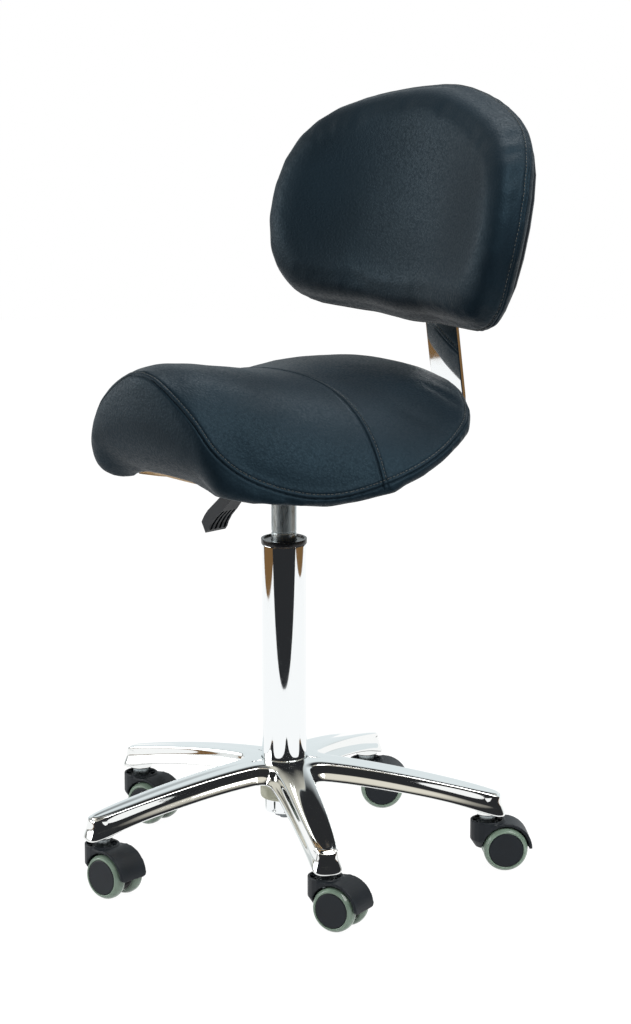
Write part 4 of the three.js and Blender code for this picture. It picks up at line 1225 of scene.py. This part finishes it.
def collar_ribs(number):
    """The small ribs that stiffen the cup round the stem."""
    ribs = bmesh.new()
    for k in range(COLLAR_RIBS):
        made = bmesh.ops.create_cube(ribs, size=1)["verts"]
        bmesh.ops.scale(ribs, verts=made, vec=millimetres(5.4, 1.2, 3.2))
        bmesh.ops.translate(ribs, verts=made, vec=millimetres(14.4, 0, 54.1))
        turn_about_column(ribs, made, k * math.tau / COLLAR_RIBS)
    bmesh.ops.bevel(ribs, geom=ribs.edges[:], offset=0.25 * MM, affect="EDGES", segments=2, profile=0.5,
                    material=-1)
    bmesh.ops.transform(ribs, matrix=caster_place(number), verts=ribs.verts)
    return new_piece(f"collar_ribs_{number}", ribs, f"caster_{number}", black_nylon)


# %% [markdown]
# A wheel is two turned pieces: the disc that runs on the axle, and the tread cast round it.

# %% Wheels


def tread_profile():
    near, far = WHEEL_INNER + 0.3, WHEEL_INNER + WHEEL_WIDTH
    outer, inner = WHEEL_RADIUS, WHEEL_RADIUS - TREAD
    return rounded([(inner, far - 2), (inner, far - 0.25), (inner + 0.4, far), (outer - 3.4, far),
                    (outer - 0.5, far - 3.6), (outer, far - 7), (outer, near + 5), (outer - 1.2, near + 1.4),
                    (outer - 3, near), (inner, near)], 1.6, 5)


def disc_profile():
    rim, far, near = WHEEL_RADIUS - TREAD - 0.3, WHEEL_INNER + WHEEL_WIDTH, WHEEL_INNER
    return rounded([(0, far - 0.1), (rim - 3.5, far - 0.1), (rim - 1, far), (rim, far - 0.7), (rim, near + 0.4),
                    (rim - 3, near + 3), (9, near + 3), (8.5, near), (4.4, near), (4.4, far - 3), (0, far - 3)],
                   0.5, 3)


def place_wheel(source, number, side):
    """Turns a wheel from the Z axis onto its axle."""
    axle = Matrix.Translation(millimetres(CASTER_TRAIL, 0, WHEEL_RADIUS))
    lay = Matrix.Rotation(math.radians(-90 if side == "a" else 90), 4, "X")
    bmesh.ops.transform(source, matrix=caster_place(number) @ axle @ lay, verts=source.verts)
    return source


def make_wheel(number, side):
    tread = place_wheel(turned(tread_profile(), 72, closed=True), number, side)
    disc = place_wheel(turned(disc_profile(), 64), number, side)
    body = f"wheel_{number}{side}"
    ring = new_piece(f"tread_{number}{side}", tread, body, sage_polyurethane)
    face = new_piece(f"disc_{number}{side}", disc, body, black_nylon)
    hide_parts(f"wheel_tread_{number}{side}")
    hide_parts(f"wheel_core_{number}{side}")
    return ring, face


hoods = [make_hood(number) for number in range(1, STAR_ARMS + 1)]
ribs = [collar_ribs(number) for number in range(1, STAR_ARMS + 1)]
wheels = [make_wheel(number, side) for number in range(1, STAR_ARMS + 1) for side in "ab"]
print("hood faces:", [len(h.data.polygons) for h in hoods], "wheels:", len(wheels))

# %% [markdown]
# ## The studio's light
# Mirrors show what stands round them. The studio is bright at eye level, with a dark ceiling, and dark
# low down behind the camera, where nothing is lit. A white panel stands at the left, for the bar. The
# floor is white paper that ends three quarters of a metre in front of the stool, with brown boards beside
# it. The world shader paints this room by direction for mirrors only; the camera sees plain white.

# %% World
PAPER_LEFT, PAPER_RIGHT, PAPER_FRONT, PAPER_BACK, BOARDS = 1.23, 1.36, 0.76, 3.5, 4.0
DARK_ROOM_TOP, CEILING_EDGE, BACKDROP_TOP = (28, 35), (50, 58), (24, 34)  # degrees above the horizon
PANEL_ANGLE, PANEL_RISE, PANEL_REACH = -98, 9, (20, 26)  # a white panel at the left, in degrees
ROOM_FRONT = (-0.72, -0.5)  # the cosine to the camera's side, from the backdrop to the room in front of it
PAPER_GLOW, PAPER_SEEN = 1.08, 0.9
LIT_MIDDLE = Vector((0, 0, 0.55))


def empty_tree(owner):
    """Node tree of a world or material, with nothing in it."""
    owner.use_nodes = True
    owner.node_tree.nodes.clear()
    return owner.node_tree


def way_to(angle, elevation):
    """A direction from the stool: degrees to the right of the camera, and degrees up."""
    turn, rise = math.radians(angle), math.radians(elevation)
    return (right * math.sin(turn) - away * math.cos(turn)) * math.cos(rise) + Z_AXIS * math.sin(rise)


def paint_world():
    world = bpy.data.worlds.new("studio")
    bpy.context.scene.world = world
    tree = empty_tree(world)
    direction = add_node(tree, "TexCoord").outputs["Generated"]
    level = add_node(tree, "SeparateXYZ", {"Vector": direction}).outputs["Z"]
    facing = add_node(tree, "VectorMath", {0: direction, 1: tuple(-away)}, operation="DOT_PRODUCT")
    front = spread(tree, facing.outputs["Value"], 0, 1, *ROOM_FRONT)

    def above(limits):
        low, high = (math.sin(math.radians(limit)) for limit in limits)
        return spread(tree, level, 0, 1, low, high)

    def painted_over(share, under_paint, paint):
        return add_node(tree, "Mix", {"Factor": share, "A": under_paint, "B": paint},
                        data_type="RGBA").outputs["Result"]

    ceiling = add_node(tree, "Mix", {"Factor": front, "A": above(BACKDROP_TOP), "B": above(CEILING_EDGE)})
    under = add_node(tree, "Math", {0: 1.0, 1: above(DARK_ROOM_TOP)}, operation="SUBTRACT")
    room = add_node(tree, "Math", {0: front, 1: under.outputs["Value"]}, operation="MULTIPLY")
    dark = add_node(tree, "Math", {0: room.outputs["Value"], 1: ceiling.outputs["Result"]},
                    operation="MAXIMUM")
    wall = painted_over(front, colour("#eaf2f5"), colour("#ece6d8"))
    walls = painted_over(dark.outputs["Value"], wall, colour("#2c2d2f"))
    to_panel = add_node(tree, "VectorMath", {0: direction, 1: tuple(way_to(PANEL_ANGLE, PANEL_RISE))},
                        operation="DOT_PRODUCT")
    inner, outer = (math.cos(math.radians(reach)) for reach in PANEL_REACH)
    panel = spread(tree, to_panel.outputs["Value"], 0, 1, outer, inner)
    walls = painted_over(panel, walls, colour("#f6f8f8"))
    seen = add_node(tree, "LightPath")
    mirrored = add_node(tree, "Background", {"Color": walls, "Strength": 1.0})
    lit = add_node(tree, "Background", {"Color": (1, 1, 1, 1), "Strength": 0.35})
    white = add_node(tree, "Background", {"Color": (1, 1, 1, 1), "Strength": 1.0})
    first = add_node(tree, "MixShader", {"Fac": seen.outputs["Is Glossy Ray"], 1: lit.outputs[0],
                                         2: mirrored.outputs[0]})
    last = add_node(tree, "MixShader", {"Fac": seen.outputs["Is Camera Ray"], 1: first.outputs[0],
                                        2: white.outputs[0]})
    add_node(tree, "OutputWorld", {"Surface": last.outputs[0]})


paint_world()


# %% [markdown]
# The camera sees the paper as plain white but with the shadow of the stool, so most of what the camera sees
# of it glows and the rest is lit. Mirrors see only the glow. The brown boards beside it give the column its
# warm stripes.

# %% Floor


def white_paper():
    material = bpy.data.materials.new("studio_paper")
    tree = empty_tree(material)
    seen = add_node(tree, "LightPath")
    paper = add_node(tree, "BsdfDiffuse", {"Color": (0.9, 0.9, 0.9, 1)})
    glow = add_node(tree, "Emission", {"Color": colour("#ffffff"), "Strength": PAPER_GLOW})
    share = add_node(tree, "Math", {0: seen.outputs["Is Camera Ray"], 1: PAPER_SEEN}, operation="MULTIPLY")
    shine = add_node(tree, "Math", {0: seen.outputs["Is Glossy Ray"], 1: share.outputs["Value"]},
                     operation="MAXIMUM")
    mix = add_node(tree, "MixShader", {"Fac": shine.outputs["Value"],
                                       1: paper.outputs[0], 2: glow.outputs[0]})
    add_node(tree, "OutputMaterial", {"Surface": mix.outputs[0]})
    return material


def add_floor(name, left_edge, right_edge, near_edge, far_edge, material):
    """A level sheet with its edges at these places to the right of the stool and away from the camera."""
    source = bmesh.new()
    bmesh.ops.create_grid(source, x_segments=1, y_segments=1, size=0.5)
    bmesh.ops.scale(source, verts=source.verts, vec=(right_edge - left_edge, far_edge - near_edge, 1))
    middle_of_sheet = ((left_edge + right_edge) / 2, (near_edge + far_edge) / 2, 0)
    bmesh.ops.translate(source, verts=source.verts, vec=middle_of_sheet)
    turn_about_column(source, source.verts, camera_turn)
    mesh = bpy.data.meshes.new(name)
    source.to_mesh(mesh)
    source.free()
    sheet = bpy.data.objects.new(name, mesh)
    bpy.context.scene.collection.objects.link(sheet)
    mesh.materials.append(material)


def brown_boards():
    material = bpy.data.materials.new("brown_boards")
    tree = empty_tree(material)
    glow = add_node(tree, "Emission", {"Color": colour("#7d5f3d"), "Strength": 1.0})
    add_node(tree, "OutputMaterial", {"Surface": glow.outputs[0]})
    return material


# %% [markdown]
# Three large soft lamps light the leather: one low at the left, one at the right and higher up, and a weaker
# one high up behind.

# %% Lamps


def add_softbox(name, angle, elevation, distance, width, height, power):
    """A soft lamp that faces the stool's middle from this direction and distance."""
    data = bpy.data.lights.new(name, "AREA")
    data.shape = "RECTANGLE"
    data.size, data.size_y, data.energy = width, height, power
    lamp = bpy.data.objects.new(name, data)
    bpy.context.scene.collection.objects.link(lamp)
    lamp.location = LIT_MIDDLE + way_to(angle, elevation) * distance
    lamp.rotation_mode = "QUATERNION"
    lamp.rotation_quaternion = (LIT_MIDDLE - lamp.location).to_track_quat("-Z", "Y")


add_floor("floor", -PAPER_LEFT, PAPER_RIGHT, -PAPER_FRONT, PAPER_BACK, white_paper())
wood = brown_boards()
add_floor("boards_left", -BOARDS, -PAPER_LEFT, -PAPER_FRONT, PAPER_FRONT, wood)
add_floor("boards_right", PAPER_RIGHT, BOARDS, -PAPER_FRONT, PAPER_FRONT, wood)
add_softbox("left", -95, 9, 2.4, 2.0, 1.3, 42)
add_softbox("right", 47, 45, 2.2, 1.7, 1.5, 55)
add_softbox("back", 150, 62, 2.2, 1.2, 1.0, 25)

view_settings = bpy.context.scene.view_settings
view_settings.view_transform = "Standard"
